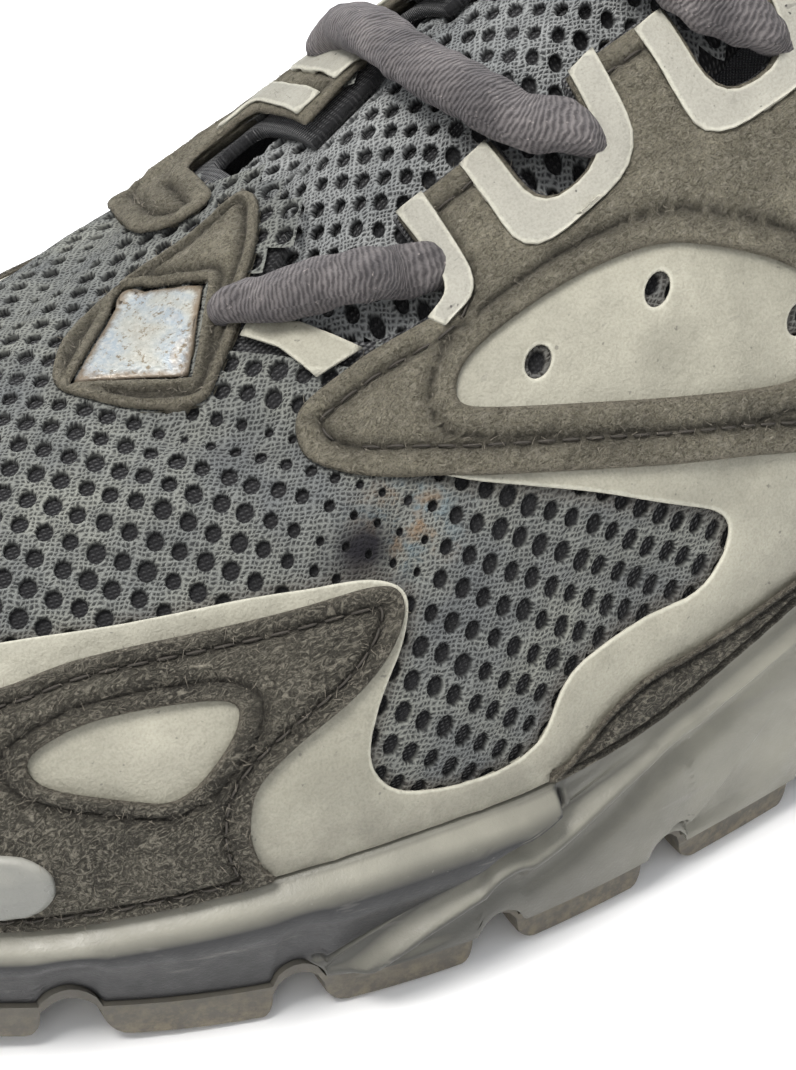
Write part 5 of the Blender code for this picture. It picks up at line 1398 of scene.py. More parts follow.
def rib_lengths():
    """Distance along each rib from the ridge down to the sole's rim, per side."""
    stations = np.linspace(0, 1, 241)
    rises = np.linspace(1, 0, 49)
    tables = {}
    for side in (1, -1):
        u, v = np.meshgrid(side * stations, rises, indexing="ij")
        places = upper_point(u, v)
        steps = np.linalg.norm(np.diff(places, axis=1), axis=2)
        tables[side] = np.concatenate([np.zeros((len(stations), 1)), np.cumsum(steps, axis=1)], axis=1)
    return stations, rises, tables


RIB_STATIONS, RIB_RISES, RIB_TABLES = rib_lengths()


def from_cloth(x, y):
    """(u, v) of places on the cloth laid flat: x along the shoe, y away from the ridge."""
    toe = (TOE_FAN - 0.5) * LENGTH
    ahead = x < toe
    reach = np.where(ahead, np.hypot(x - toe, y), np.abs(y))
    turn = np.arctan2(np.abs(y), np.maximum(toe - x, 0))
    along = np.where(ahead, turn / (math.pi / 2) * TOE_FAN, x / LENGTH + 0.5)
    along = np.clip(along, 0, 1)
    spot = along * (len(RIB_STATIONS) - 1)
    low = np.clip(spot.astype(int), 0, len(RIB_STATIONS) - 2)
    share = (spot - low)[:, None]
    rise = np.zeros(len(x))
    for side in (1, -1):
        chosen = (y >= 0) == (side > 0)
        rows = RIB_TABLES[side][low] * (1 - share) + RIB_TABLES[side][low + 1] * share
        rows, goal = rows[chosen], reach[chosen]
        i = np.clip((rows < goal[:, None]).sum(axis=1), 1, rows.shape[1] - 1)
        pick = np.arange(len(i))
        before, after = rows[pick, i - 1], rows[pick, i]
        t = np.clip((goal - before) / np.maximum(after - before, 1e-9), 0, 1.5)
        rise[chosen] = RIB_RISES[i - 1] + t * (RIB_RISES[i] - RIB_RISES[i - 1])
    return np.where(y >= 0, along, -along), rise


def knit(name, centres, to_place, paint, hole=HOLE, squeeze=None):
    """Cells of cloth around holes; centres are lattice nodes in the flat cloth.

    to_place(spots, level) puts flat spots on the shoe. Cells share their diamond borders, and
    inside each the rings (growth of the hole, depth) run over its rim and down into it.
    """
    sides = 12
    turns = np.arange(sides) * 2 * math.pi / sides
    way = np.column_stack([np.cos(turns), np.sin(turns)])
    border = way / np.abs(way).sum(axis=1)[:, None]
    half = np.array([KNIT_PITCH_X, KNIT_PITCH_Y]) / 2
    radius = np.array([hole, hole * 1.06]) / 2
    draw = np.random.default_rng(5)
    count = len(centres)
    size = 1 + 0.05 * draw.normal(size=count)
    if squeeze is not None:
        size *= squeeze(centres)
    size = np.clip(size, 0.25, 1.2)[:, None, None]
    shift = 0.00009 * draw.normal(size=(count, 1, 2))
    middle = centres[:, None, :]
    edge = middle + border * half
    lean = 1 + 0.06 * draw.normal(size=(count, 1, 1))
    rings = [(edge, 0.0)]
    for grow, depth in ((1.30, 0.00006), (1.08, -0.00004), (0.95, -0.00030), (0.86, -0.00095)):
        ring = middle + shift + way * radius * size * grow * np.sqrt(lean)
        rings.append((ring, depth))
    flat = np.concatenate([ring for ring, _ in rings], axis=1)
    depth = np.concatenate([np.full((count, sides), depth) for _, depth in rings], axis=1)
    corner = np.zeros(sides)
    corner[::3] = 1
    depth[:, :sides] += (0.00010 * corner - 0.00008)[None, :]
    # Painted shade on each ring: none on the rim, most at the bottom of the hole.
    hole_shade = np.concatenate([np.full((count, sides), value) for value in (0, 0, 0.0, 0.55, 1.0)], axis=1)
    flat, depth, hole_shade = flat.reshape(-1, 2), depth.ravel(), hole_shade.ravel()
    faces = []
    for ring in range(len(rings) - 1):
        for i in range(sides):
            j = (i + 1) % sides
            a, b = ring * sides + i, ring * sides + j
            faces.append((a, b, b + sides, a + sides))
    faces = np.array(faces)
    faces = (faces[None] + (np.arange(count) * sides * len(rings))[:, None, None]).reshape(-1, 4)
    places, marks = to_place(flat, depth)
    marks["hole_shade"] = hole_shade
    return make_piece(name, places, faces, paint, flat, marks, weld=2e-5, sharp=0)


def lattice(low, high):
    """Nodes of a diamond lattice between two corners of the flat cloth."""
    columns = np.arange(math.floor(low[0] / KNIT_PITCH_X * 2), math.ceil(high[0] / KNIT_PITCH_X * 2) + 1)
    rows = np.arange(math.floor(low[1] / KNIT_PITCH_Y * 2), math.ceil(high[1] / KNIT_PITCH_Y * 2) + 1)
    grid = np.stack(np.meshgrid(columns, rows), axis=-1).reshape(-1, 2)
    grid = grid[(grid.sum(axis=1) % 2) == 0]
    return grid * np.array([KNIT_PITCH_X, KNIT_PITCH_Y]) / 2


def add_knit(paint):
    """The knit wherever no other layer hides it."""
    centres = lattice((-0.16, -0.125), (0.16, 0.125))
    u, v = from_cloth(centres[:, 0], centres[:, 1])
    spots = side_chart(np.column_stack([u, v]))
    outline = side_chart(upper_loop())
    good = signed_distance(spots, [outline]) > 0.0023
    along = np.abs(u)
    front = (along < THROAT_FRONT) & (v > 0.9)
    good |= front
    good &= v > 0.02
    good &= ((v < 0.955) & (np.abs(centres[:, 1]) > 0.55 * KNIT_PITCH_Y)) | (along < 0.6)
    good &= along < 0.995
    hidden = [grey_loops(), toe_loops(), heel_loops(), eyestay_loops(1), eyestay_loops(-1)]
    for loops in hidden:
        charts = chart_loops(loops, step=0.004)
        good &= signed_distance(spots, charts) < KNIT_TUCK
    centres = centres[good]

    def to_place(flat, level):
        """Flat spots of the cloth on the worn upper, with their stains, and dirt and painted shade along
        the grey layer's edge.
        """
        u, v = from_cloth(flat[:, 0], flat[:, 1])
        v = np.minimum(v, 1.0)
        places = worn(u, v, level + collar_roll(u, v))
        spots = np.column_stack([u, v])
        from_smear = np.linalg.norm((spots - SMEAR) * SIDE_METRIC, axis=1)
        from_scorch = np.linalg.norm((spots - SCORCH) * SIDE_METRIC, axis=1)
        smear = np.exp(-((from_smear / SMEAR_SIZE) ** 2))
        scorch = np.exp(-((from_scorch / SCORCH_SIZE) ** 2))
        # Dirt and painted shade along the grey layer's edge.
        grime = np.clip(1.4 * near_edge(u, v), 0, 1)
        return places, {"smear": smear, "scorch": np.clip(1.3 * scorch, 0, 1), "grime": grime}

    def squeeze(centres):
        """Holes draw together in the first three creases, which are troughs, and around the burnt spot."""
        u, v = from_cloth(centres[:, 0], centres[:, 1])
        spots = np.column_stack([u, v]) * SIDE_METRIC
        pinch = np.zeros(len(u))
        for width, _, line in CREASES[:3]:
            pinch += np.exp(-((line_distance(spots, np.array(line) * SIDE_METRIC) / width) ** 2))
        near = np.linalg.norm(spots - np.array(SCORCH) * SIDE_METRIC, axis=1)
        pinch += 1.2 * np.exp(-((near / 0.0085) ** 2))
        return 1 - 0.55 * np.clip(pinch, 0, 1)

    dress(knit("upper_knit", centres, to_place, paint, squeeze=squeeze), "knit_mesh")


def near_edge(u, v):
    """1 where the knit meets the grey layer's edge, for the dirt caught there and the painted shade under
    that edge.
    """
    spots = side_chart(np.column_stack([u, v]))
    return np.exp(-((clearance(spots, GREY_CHARTS) / 0.0012) ** 2))


def add_layers(grey, suede, dark_suede, webbing, film):
    """The grey layer, the suede on it, the strips of the lace notches and the badge."""
    add = LAYER_HEIGHTS
    on_wall = over_wall(add["grey"])
    piece = overlay("grey_layer", grey_loops(), on_wall, add["grey"] + 0.0003, grey, step=0.0021,
                    edge=0.00035, seed=2)
    dress(piece, "grey_synthetic", "side_overlay")
    piece = overlay("throat_tab", [THROAT_BAND], on_wall, add["grey"] + 0.0003, grey, edge=0.00035)
    dress(piece, "grey_synthetic", "throat_band")
    suede_height = over_grey(add["suede"])
    piece = overlay("toe_suede", toe_loops(), suede_height, add["suede"] + 0.0002, dark_suede,
                    step=0.0017, seam=0.0026, seed=4)
    dress(piece, "suede", "toe_overlay")
    piece = overlay("heel_suede", heel_loops(), suede_height, add["suede"] + 0.0002, dark_suede,
                    step=0.0024, seam=0.0026, seed=5)
    dress(piece, "suede", "heel_overlay")
    for side, label in ((1, "lateral"), (-1, "medial")):
        piece = overlay(f"eyestay_suede_{label}", eyestay_loops(side), suede_height, add["suede"] + 0.0002,
                        suede, step=0.0015, seam=0.0030, seed=6 + side)
        dress(piece, "suede", f"eyestay_{label}")
        strip = [(side * u, v, 0.003) for u, v in FOOT_STRIP]
        piece = overlay(f"foot_suede_{label}", [strip[::side]], suede_height, add["suede"] + 0.0002,
                        dark_suede, seam=0.0012)
        dress(piece, "suede", f"foot_strip_{label}")
        notches = LATERAL_NOTCHES if side > 0 else MEDIAL_NOTCHES[1:]
        tab_end = LATERAL_TAB_END if side > 0 else MEDIAL_TAB_END
        first = FIRST_GUIDE if side > 0 else FIRST_GUIDE_MEDIAL
        strips = [[first]] + [guide_loops(notch, tab_end, side) for notch in notches]
        for i, loops in enumerate(strips):
            piece = overlay(f"guide_{label}_{i + 1}", loops, over_grey(add["suede"] + add["guide"]),
                            add["guide"] + 0.0002, webbing, step=0.0011, edge=0.0003)
            dress(piece, "reflective_strip", f"lace_guide_{label}_{i + 1}")
    piece = overlay("badge_suede", [BADGE_FRAME, BADGE_HOLE], over_wall(add["badge"]),
                    add["badge"] + 0.0003, suede, step=0.0010, edge=0.0009, seam=0.0016, top=True)
    dress(piece, "suede", "badge_frame")
    piece = overlay("badge_film", [BADGE], over_wall(add["badge"] - 0.0006), 0.0006, film,
                    step=0.0010, edge=0.0003, top=True)
    dress(piece, "badge_film", "badge")


def add_button(paint):
    """The glossy moulded button at the tip of the toe, domed with a bevelled rim."""
    dome = over_wall(LAYER_HEIGHTS["grey"] + LAYER_HEIGHTS["suede"] + 0.0008)
    piece = overlay("toe_stud", [TOE_BUTTON], dome, 0.0016, paint, step=0.0009, edge=0.0011,
                    bulge=0.0005)
    dress(piece, "midsole_rubber", "toe_button")


# Tongue


def tongue_rows():
    """Rows of places across the tongue, from under the throat's front to its top."""
    columns = np.array(TONGUE_COLUMNS)
    rows = [0.300, 0.335, 0.360, 0.400, 0.440, 0.480, 0.525, 0.545, 0.560]
    places = []
    for along in rows:
        g = TONGUE_CENTRE + tongue_width(along) * columns / RIB_CHART
        bulge = float(ease(along, 0.335, 0.375))
        reach = (0.56, 0.74) if along < 0.55 else (0.0, 0.5)
        crown = ease(1 - np.abs(columns), *reach)
        level = TONGUE_LOW + (TONGUE_HIGH - TONGUE_LOW) * crown * bulge
        places.append(strip_place(np.full(len(g), along), g, level))
    last = places[-1]
    middle = last[[len(columns) // 2 - 1, len(columns) // 2]].mean(axis=0)
    for back, up, widen in TONGUE_PATH:
        rise = np.array([back, 0, up]) * TONGUE_RISE
        places.append(middle + rise + (last - middle) * (1.0, widen, 1.0))
    return np.array(places)


TONGUE_ROWS = tongue_rows()


def tongue_reach():
    """Distance along the tongue's middle to each of its rows."""
    middle = TONGUE_ROWS[:, 4:6].mean(axis=1)
    return np.concatenate([[0], np.cumsum(np.linalg.norm(np.diff(middle, axis=0), axis=1))])


TONGUE_REACH = tongue_reach()


def tongue_face(reach, across, level=0.0):
    """Places on the tongue's front: reach along its middle and across, both in metres."""
    rows = TONGUE_ROWS
    widths = np.linalg.norm(np.diff(rows, axis=1), axis=2).sum(axis=1)
    keys = np.linspace(-1, 1, rows.shape[1])

    def face(reach, across):
        """Places on the plain face, smooth along and across."""
        half = np.interp(reach, TONGUE_REACH, widths) / 2
        share = np.clip(across / half, -1, 1)
        down = table(np.column_stack([TONGUE_REACH, rows.reshape(len(rows), -1)]), reach)
        down = down.reshape(len(reach), rows.shape[1], 3)
        spot = np.clip((share + 1) / 2 * (rows.shape[1] - 1), 0, rows.shape[1] - 1.000001)
        i = spot.astype(int)
        t = (spot - i)[:, None]
        pick = np.arange(len(i))
        before = down[pick, np.maximum(i - 1, 0)]
        start, end = down[pick, i], down[pick, i + 1]
        after = down[pick, np.minimum(i + 2, len(keys) - 1)]
        a, b = (end - before) / 2, (after - start) / 2
        found = (2 * t**3 - 3 * t**2 + 1) * start + (3 * t**2 - 2 * t**3) * end
        return found + (t**3 - 2 * t**2 + t) * a + (t**3 - t**2) * b

    step = 4e-4
    reach, across = np.asarray(reach, float), np.asarray(across, float)
    place = face(reach, across)
    normal = np.cross(face(reach + step, across) - face(reach - step, across),
                      face(reach, across + step) - face(reach, across - step))
    normal /= np.maximum(np.linalg.norm(normal, axis=1), 1e-12)[:, None]
    return place - normal * np.asarray(level)[..., None]


def add_tongue(paint, knit_cloth):
    """A padded tongue with a knit face, a rolled hem around its edge and soft quilting."""
    rows, columns = 90, 44
    reach = np.linspace(0.0, TONGUE_REACH[-1], rows)
    widths = np.linalg.norm(np.diff(TONGUE_ROWS, axis=1), axis=2).sum(axis=1)
    half = np.interp(reach, TONGUE_REACH, widths) / 2
    shares = np.sin(np.linspace(-math.pi / 2, math.pi / 2, columns))
    along, share = np.meshgrid(reach, shares, indexing="ij")
    across = share * half[:, None]
    edge = np.minimum((1 - np.abs(share)) * half[:, None], (TONGUE_REACH[-1] - along))
    pad = -0.0012 * (1 - ease(edge, 0.0, 0.0018)) - 0.0009
    pad += 0.0005 * ripple(np.column_stack([along.ravel(), across.ravel()]), 0.02, 8).reshape(pad.shape)
    places = tongue_face(along.ravel(), across.ravel(), pad.ravel())
    faces = ladder_faces(columns, rows)
    uv = np.column_stack([along.ravel(), across.ravel()])
    piece = make_piece("tongue_pad", places, faces, paint, uv)
    solidify(piece, TONGUE_PAD - 0.0014)
    dress(piece, "tongue_knit", "tongue")
    centres = lattice((0.004, -0.03), (TONGUE_REACH[-1] - 0.004, 0.03))
    room = np.interp(centres[:, 0], TONGUE_REACH, widths) / 2 - np.abs(centres[:, 1])
    centres = centres[room > 0.0006]

    def to_place(flat, level):
        """Flat spots of the cloth on the tongue, which is clean."""
        places = tongue_face(flat[:, 0], flat[:, 1], level + 0.0002)
        blank = np.zeros(len(flat))
        return places, {"smear": blank, "scorch": blank, "grime": blank}

    dress(knit("tongue_face", centres, to_place, knit_cloth, hole=HOLE * 0.94), "tongue_knit")


def ladder_faces(columns, rows):
    """Quads of a grid of places, row by row."""
    faces = []
    for row in range(rows - 1):
        for column in range(columns - 1):
            first = row * columns + column
            faces.append((first, first + 1, first + columns + 1, first + columns))
    return faces


# Laces


def smooth_line(points, count):
    """Even places along a smooth line through the points."""
    points = np.asarray(points, float)
    knots = np.concatenate([[0], np.cumsum(np.linalg.norm(np.diff(points, axis=0), axis=1))])
    dense = table(np.column_stack([knots, points]), np.linspace(0, knots[-1], 6 * count))
    reach = np.concatenate([[0], np.cumsum(np.linalg.norm(np.diff(dense, axis=0), axis=1))])
    goal = np.linspace(0, reach[-1], count)
    return np.column_stack([np.interp(goal, reach, dense[:, k]) for k in range(3)]), goal


def tube(name, points, width, height, paint, seed, squash):
    """A soft cord along the points, with lumps and end caps.

    squash(share of the length) gives the shares of its width and height that are left there.
    """
    count, sides, wrinkle = 90, 20, 0.0002
    line, reach = smooth_line(points, count)
    tangent = np.gradient(line, axis=0)
    tangent /= np.linalg.norm(tangent, axis=1)[:, None]
    up = np.array([outward(place) for place in line])
    side = np.cross(tangent, up)
    side /= np.linalg.norm(side, axis=1)[:, None]
    up = np.cross(side, tangent)
    turns = np.arange(sides + 1) * 2 * math.pi / sides
    swell = 1 + 0.05 * ripple(reach[:, None], 0.014, seed)
    swell = swell + 0.03 * ripple(reach[:, None], 0.005, seed + 1)
    left = squash(reach / reach[-1])
    wide, high = width / 2 * swell * left[:, 0], height / 2 * swell * left[:, 1]
    offset = (wide[:, None] * np.cos(turns))[..., None] * side[:, None]
    offset = offset + (high[:, None] * np.sin(turns))[..., None] * up[:, None]
    places = line[:, None] + offset
    uv = np.stack(np.broadcast_arrays(reach[:, None], turns * width / 2.4), axis=-1).reshape(-1, 2)
    way = offset / np.linalg.norm(offset, axis=2)[..., None]
    round_cord = np.cos(np.tile(turns, len(reach))) * 0.004
    lumps = ripple(np.column_stack([uv[:, 0], round_cord]), 0.0042, seed + 2)
    places = (places + way * (wrinkle * lumps).reshape(len(reach), -1)[..., None]).reshape(-1, 3)
    faces = ladder_faces(sides + 1, count)
    ends = []
    for row, order in ((0, -1), (count - 1, 1)):
        first = len(places)
        places = np.vstack([places, line[row] + tangent[row] * order * height * 0.2])
        uv = np.vstack([uv, uv[row * (sides + 1)]])
        for i in range(sides):
            a, b = row * (sides + 1) + i, row * (sides + 1) + i + 1
            ends.append((a, b, first)[::-order])
    return make_piece(name, places, faces + ends, paint, uv)


def lace_line(outer, inner):
    """From under the medial eyestay up through its notch, across, and down through the lateral one."""
    reach_out, reach_in = 0.930 - outer[2], 0.970 - inner[2]
    return [(outer[1] + ahead, share * (reach_out if share > 0 else reach_in), level)
            for ahead, share, level in LACE_BAR]


def on_strip(route):
    """A lace's route over the tongue as places on the shoe."""
    along, g, level = np.array(route).T
    return strip_place(along, g, level + 0.0006)


def outward(place):
    """The way that a lace's upper side faces."""
    away = Vector((0.1, 0.0, 1.0)) + Vector((0, 4 * (place[1] + 0.006), 0))
    return np.array(away.normalized())


def pinched(t):
    """The front lace is narrow where it comes out beside the badge."""
    high = ease(t, 0, 0.3) * (1 - ease(t, 0.9, 1))
    return np.column_stack([0.72 + 0.28 * ease(t, 0, 0.35), 0.66 + 0.34 * high])


def flattened(t):
    """The other laces lie flatter at both ends and wider towards the outer side."""
    high = ease(t, 0, 0.12) * (1 - ease(t, 0.88, 0.98))
    return np.column_stack([1 + 0.12 * ease(t, 0.3, 0.6), 0.6 + 0.4 * high])


def add_laces(paint):
    """One short crossing at the front and three from notch to notch."""
    routes = [("lace_front", LACE_FRONT, pinched)]
    for i, (outer, inner) in enumerate(zip(LATERAL_NOTCHES, MEDIAL_NOTCHES[1:])):
        routes.append((f"lace_bar_{i + 2}", lace_line(outer, inner), flattened))
    for i, (name, route, squash) in enumerate(routes):
        piece = tube(name, on_strip(route), LACE_WIDTHS[i], LACE_HEIGHT, paint, 20 + i, squash)
        dress(piece, "lace_cord", f"lace_{i + 1}")


# Sole


def sole_base(u):
    """The seam between outsole and midsole, arched between the lugs."""
    along = np.abs(wrapped(u))
    edges = lug_edges()
    rise = np.zeros(np.shape(along))
    for (_, back), (front, _) in zip(edges[:-1], edges[1:]):
        share = np.clip((along - back) / (front - back), 0, 1)
        arch = np.sin(math.pi * share) ** 0.55
        rise = np.maximum(rise, arch * ease(back, 0.06, 0.12))
    return ground_height(u) + LUG_HEIGHT + PLATE + rise * NOTCH_RISE


def bumper_line(share):
    """Station of the bumper's back end at a share of the side's height."""
    return blade_station(BLADES[0], share)


def side_station(column, share):
    """Stations of the side's grid: its columns lean with the moulded blades."""
    column, share = np.broadcast_arrays(column, share)
    knots = np.array([0, 0.10] + [blade[0] for blade in BLADES] + [1])
    leaned = [np.full(column.shape, level) for level in (0.0, 0.10)]
    leaned += [blade_station(blade, share) for blade in BLADES] + [np.ones(column.shape)]
    leaned = np.stack(leaned)
    i = np.clip(np.searchsorted(knots, column, "right") - 1, 0, len(knots) - 2)
    t = (column - knots[i]) / (knots[i + 1] - knots[i])
    start = np.take_along_axis(leaned, i[None], 0)[0]
    end = np.take_along_axis(leaned, i[None] + 1, 0)[0]
    return start + (end - start) * t


def side_relief(u, share):
    """Inset of the midsole's side: bumper, its bead and the channel at its back edge, the ridge, the
    blades; with marks for the painted shade in its grooves and along its top edge, and for the pale dirt
    and painted light behind the bumper.
    """
    along = np.abs(wrapped(u))
    share = np.broadcast_to(share, along.shape)
    full = ease(share, 0.0, 0.10) * ease(1 - share, 0.0, 0.07)
    ahead = (bumper_line(share) - along) * LENGTH
    bumper = ease(ahead, -0.0004, 0.0012)
    depth = bumper * table(np.array(BUMPER_SECTION), share)
    depth += (1 - bumper) * table(np.array(REAR_SECTION), share) * ease(-ahead, 0.0, 0.008)
    line = np.exp(-((ahead / 0.00042) ** 2)) * full
    depth += 0.0009 * line
    behind = ease(-ahead, 0.0002, 0.0016) * (1 - ease(-ahead, 0.0016, 0.007))
    depth += 0.0007 * behind * full
    below = (np.interp(along, RIDGE_STATIONS, RIDGE_SHARES) - share) * (rim_height(u) - sole_base(u))
    ridge = np.exp(-((below / np.where(below < 0, 0.0011, 0.0015)) ** 2))
    depth -= 0.0020 * ridge * full * (1 - bumper)
    trough = np.exp(-(((below - 0.0040) / 0.0019) ** 2)) * (1 - ease(along, 0.40, 0.52))
    depth += 0.0011 * trough * full * (1 - bumper)
    low_part = 1 - ease(share, 0.10, 0.55)
    # Painted shade along the bumper's groove line and along the top edge against the upper.
    shade_line = line + 0.5 * np.exp(-(((share - 1.0) / 0.02) ** 2))
    for blade in BLADES[1:]:
        past = (along - blade_station(blade, share)) * LENGTH
        step = ease(past, -0.0006, 0.0006) * (1 - ease(past, 0.0008, 0.016))
        depth += 0.0013 * step * full * low_part
        # Painted shade along each blade's step.
        shade_line = np.maximum(shade_line, 0.8 * np.exp(-((past / 0.0004) ** 2)) * full * low_part)
    # Dust and painted light on the side behind the bumper, more towards the rear.
    dust_and_light = (1 - bumper) * (0.25 + 0.70 * ease(along, 0.30, 0.46))
    return depth, np.clip(shade_line, 0, 1), dust_and_light


def hoop_faces(rows, count):
    """Quads between closed rings of places, ring by ring."""
    faces = []
    for row in range(rows - 1):
        for i in range(count):
            a, b = row * count + i, row * count + (i + 1) % count
            faces.append((b, a, a + count, b + count))
    return faces


def add_midsole(paint):
    """The sole's moulded side as one ring of strips, with the lip and cup that hold the upper."""
    rows = 46
    fine = [blade[0] + step / LENGTH for blade in BLADES for step in BLADE_STEPS]
    column = np.unique(np.concatenate([np.linspace(0, 1, 560), np.linspace(0, 0.06, 60), fine]))
    column = column[np.concatenate([[True], np.diff(column) > 2e-4])]
    column[-1] = 1.0
    shares = 0.3 * (1 - np.cos(np.linspace(0, math.pi, rows))) / 2 + 0.7 * np.linspace(0, 1, rows)
    sides, marks, dust_and_light_rows = [], [], []
    for side in (1, -1):
        spot_column, share = np.meshgrid(column, shares, indexing="ij")
        rise = share.ravel()
        u = side * side_station(spot_column.ravel(), rise)
        depth, shade_line, dust_and_light = side_relief(u, rise)
        low, high = sole_base(u), rim_height(u)
        tuck = SEAM_TUCK + RIM_ROUND * ease(rise, 0.84, 1.0) ** 2 - SIDE_BELLY * np.sin(math.pi * rise)
        spot, _ = plan_point(u, np.minimum(tuck + depth, RIM_LIP - 0.0006))
        places = np.column_stack([spot, low + (high - low) * rise])
        sides.append(places.reshape(len(column), rows, 3))
        marks.append(shade_line.reshape(len(column), rows))
        dust_and_light_rows.append(dust_and_light.reshape(len(column), rows))
    lip, floor = [], []
    for side in (1, -1):
        u = side * side_station(column, np.ones(len(column)))
        height = rim_height(u)
        spot, _ = plan_point(u, RIM_LIP - 0.0003)
        lip.append(np.column_stack([spot, height]))
        floor.append(np.column_stack([spot, height - cup_depth(u) - 0.0003]))
    ring = np.concatenate([sides[0], lip[0][:, None], floor[0][:, None], floor[1][:, None], lip[1][:, None],
                           sides[1][:, ::-1]], axis=1)
    cup = np.zeros((len(column), 4))
    groove_and_shade = np.concatenate([marks[0], cup, marks[1][:, ::-1]], axis=1)
    dust_and_light = np.concatenate([dust_and_light_rows[0], cup, dust_and_light_rows[1][:, ::-1]], axis=1)
    count = ring.shape[1]
    around = np.tile(np.arange(count) * 0.001, len(column))
    uv = np.column_stack([np.repeat(column * LENGTH, count), around])
    marks = {"groove_and_shade": groove_and_shade.ravel(), "dust_and_light": dust_and_light.ravel()}
    faces = hoop_faces(len(column), count)
    piece = make_piece("midsole_body", ring.reshape(-1, 3), faces, paint, uv, marks)
    dress(piece, "midsole_rubber", "midsole")


def lugness(along):
    """1 on a lug and 0 between lugs, with rounded ends."""
    found = np.zeros(np.shape(along))
    for front, back in lug_edges():
        into = np.minimum((along - front) * LENGTH / LUG_NOSE, (back - along) * LENGTH / LUG_TAIL)
        found = np.maximum(found, np.sqrt(1 - (1 - np.clip(into, 0, 1)) ** 2))
    return found


def add_outsole(paint):
    """Lugs with drafted ends, rounded foot edges and a row of pods across the sole."""
    edge = LUG_DRAFT / BALL_WIDTH * 2
    ends = [front + LUG_NOSE * t / LENGTH for front, _ in lug_edges() for t in LUG_ROUND]
    ends += [back - LUG_TAIL * t / LENGTH for _, back in lug_edges() for t in LUG_ROUND]
    along = np.unique(np.clip(np.concatenate([[0.0, 1.0], ends, np.linspace(0, 1, 340)]), 0, 1))
    along = along[np.concatenate([[True], np.diff(along) > 1.2e-4])]
    shares = np.array([-1, -0.985, -0.95, -0.7, -LUG_INNER - edge, -LUG_INNER, -0.1, 0.1, LUG_INNER,
                       LUG_INNER + edge, 0.7, 0.95, 0.985, 1])
    pod = np.array([1, 1, 1, 1, 1, 0, 0, 0, 0, 1, 1, 1, 1, 1])
    round_up = np.array([0.0007, 0.00015, 0, 0, 0, 0, 0, 0, 0, 0, 0, 0, 0.00015, 0.0007])
    lug = lugness(along)[:, None] * pod
    top = sole_base(along) - 0.0003
    ground = ground_height(along)
    bottom = (top - PLATE)[:, None] * (1 - lug) + ground[:, None] * lug + round_up * lug
    tread = 0.0008 * np.exp(-(((np.abs(shares)[None, :] - 0.7) / 0.02) ** 2)) * lug
    bottom = bottom + tread
    lateral, _ = plan_point(along, LUG_TUCK)
    medial, _ = plan_point(-along, LUG_TUCK)
    side_a, _ = plan_point(along, SEAM_TUCK + 0.0003)
    side_b, _ = plan_point(-along, SEAM_TUCK + 0.0003)
    across = (shares + 1) / 2
    under = np.empty((len(along), len(shares), 3))
    under[..., :2] = lateral[:, None] + (medial - lateral)[:, None] * across[None, :, None]
    under[..., 2] = bottom
    mids = []
    for spot, low_spot, height_row in ((side_a, lateral, bottom[:, 0]), (side_b, medial, bottom[:, -1])):
        walls = []
        for share in (0.25, 0.5, 0.75, 1.0):
            place = low_spot + (spot - low_spot) * share
            walls.append(np.column_stack([place, height_row + (top - height_row) * share]))
        mids.append(np.stack(walls, axis=1))
    ring = np.concatenate([under, mids[1], mids[0][:, ::-1]], axis=1)
    faces = hoop_faces(len(along), ring.shape[1])
    piece = make_piece("outsole_tread", ring.reshape(-1, 3), faces, paint, sharp=32)
    dress(piece, "outsole_rubber", "outsole")


def add_footbed(paint):
    """The sockliner inside, pushed down under heel and forefoot."""
    along = np.linspace(0.0, 1.0, 120)
    shares = np.linspace(-1, 1, 25)
    inset = RIM_LIP + WALL + 0.0010
    ends = [plan_point(side * along, inset)[0] for side in (1, -1)]
    floor = [rim_height(side * along) - cup_depth(along) + 0.0003 for side in (1, -1)]
    places = []
    for i, s in enumerate(along):
        for share in shares:
            t = (share + 1) / 2
            spot = ends[0][i] * (1 - t) + ends[1][i] * t
            height = floor[0][i] * (1 - t) + floor[1][i] * t + 0.0032
            press = 0.0010 * math.exp(-(((s - 0.86) / 0.09) ** 2) - (share / 0.55) ** 2)
            press += 0.0007 * math.exp(-(((s - 0.33) / 0.11) ** 2) - (share / 0.7) ** 2)
            rim = 0.0016 * abs(share) ** 6
            places.append((*spot, height - press + rim))
    uv = [(p[0], p[1]) for p in places]
    faces = [face[::-1] for face in ladder_faces(len(shares), len(along))]
    piece = make_piece("footbed", places, faces, paint, uv)
    solidify(piece, 0.0026)
    dress(piece, "lining", "insole")


# Fuzz, stitches and lint


# Share of the fibres that are left out away from the edges, and the width of a fibre
NAP_EDGE = 0.35
FIBRE_WIDTH = 0.00007


def strands(name, roots, ways, lengths, width, paint, sway, seed):
    """Short bent fibres, each a narrow folded strip."""
    draw = np.random.default_rng(seed)
    count = len(roots)
    side = np.cross(ways, draw.normal(size=(count, 3)))
    side /= np.linalg.norm(side, axis=1)[:, None]
    bend = np.cross(ways, side)
    curl = draw.normal(size=(count, 1)) * sway
    parts = 5
    spots = []
    for k in range(parts):
        t = k / (parts - 1)
        middle = roots + ways * (lengths * t)[:, None] + bend * (curl * lengths[:, None] * t * t)
        half = side * width / 2 * (1 - 0.7 * t)
        spots += [middle - half, middle + half]
    places = np.stack(spots, axis=1).reshape(-1, 3)
    faces = [(2 * k, 2 * k + 1, 2 * k + 3, 2 * k + 2) for k in range(parts - 1)]
    faces = (np.array(faces)[None] + (np.arange(count) * 2 * parts)[:, None, None]).reshape(-1, 4)
    return make_piece(name, places, faces, paint, weld=0, sharp=0)


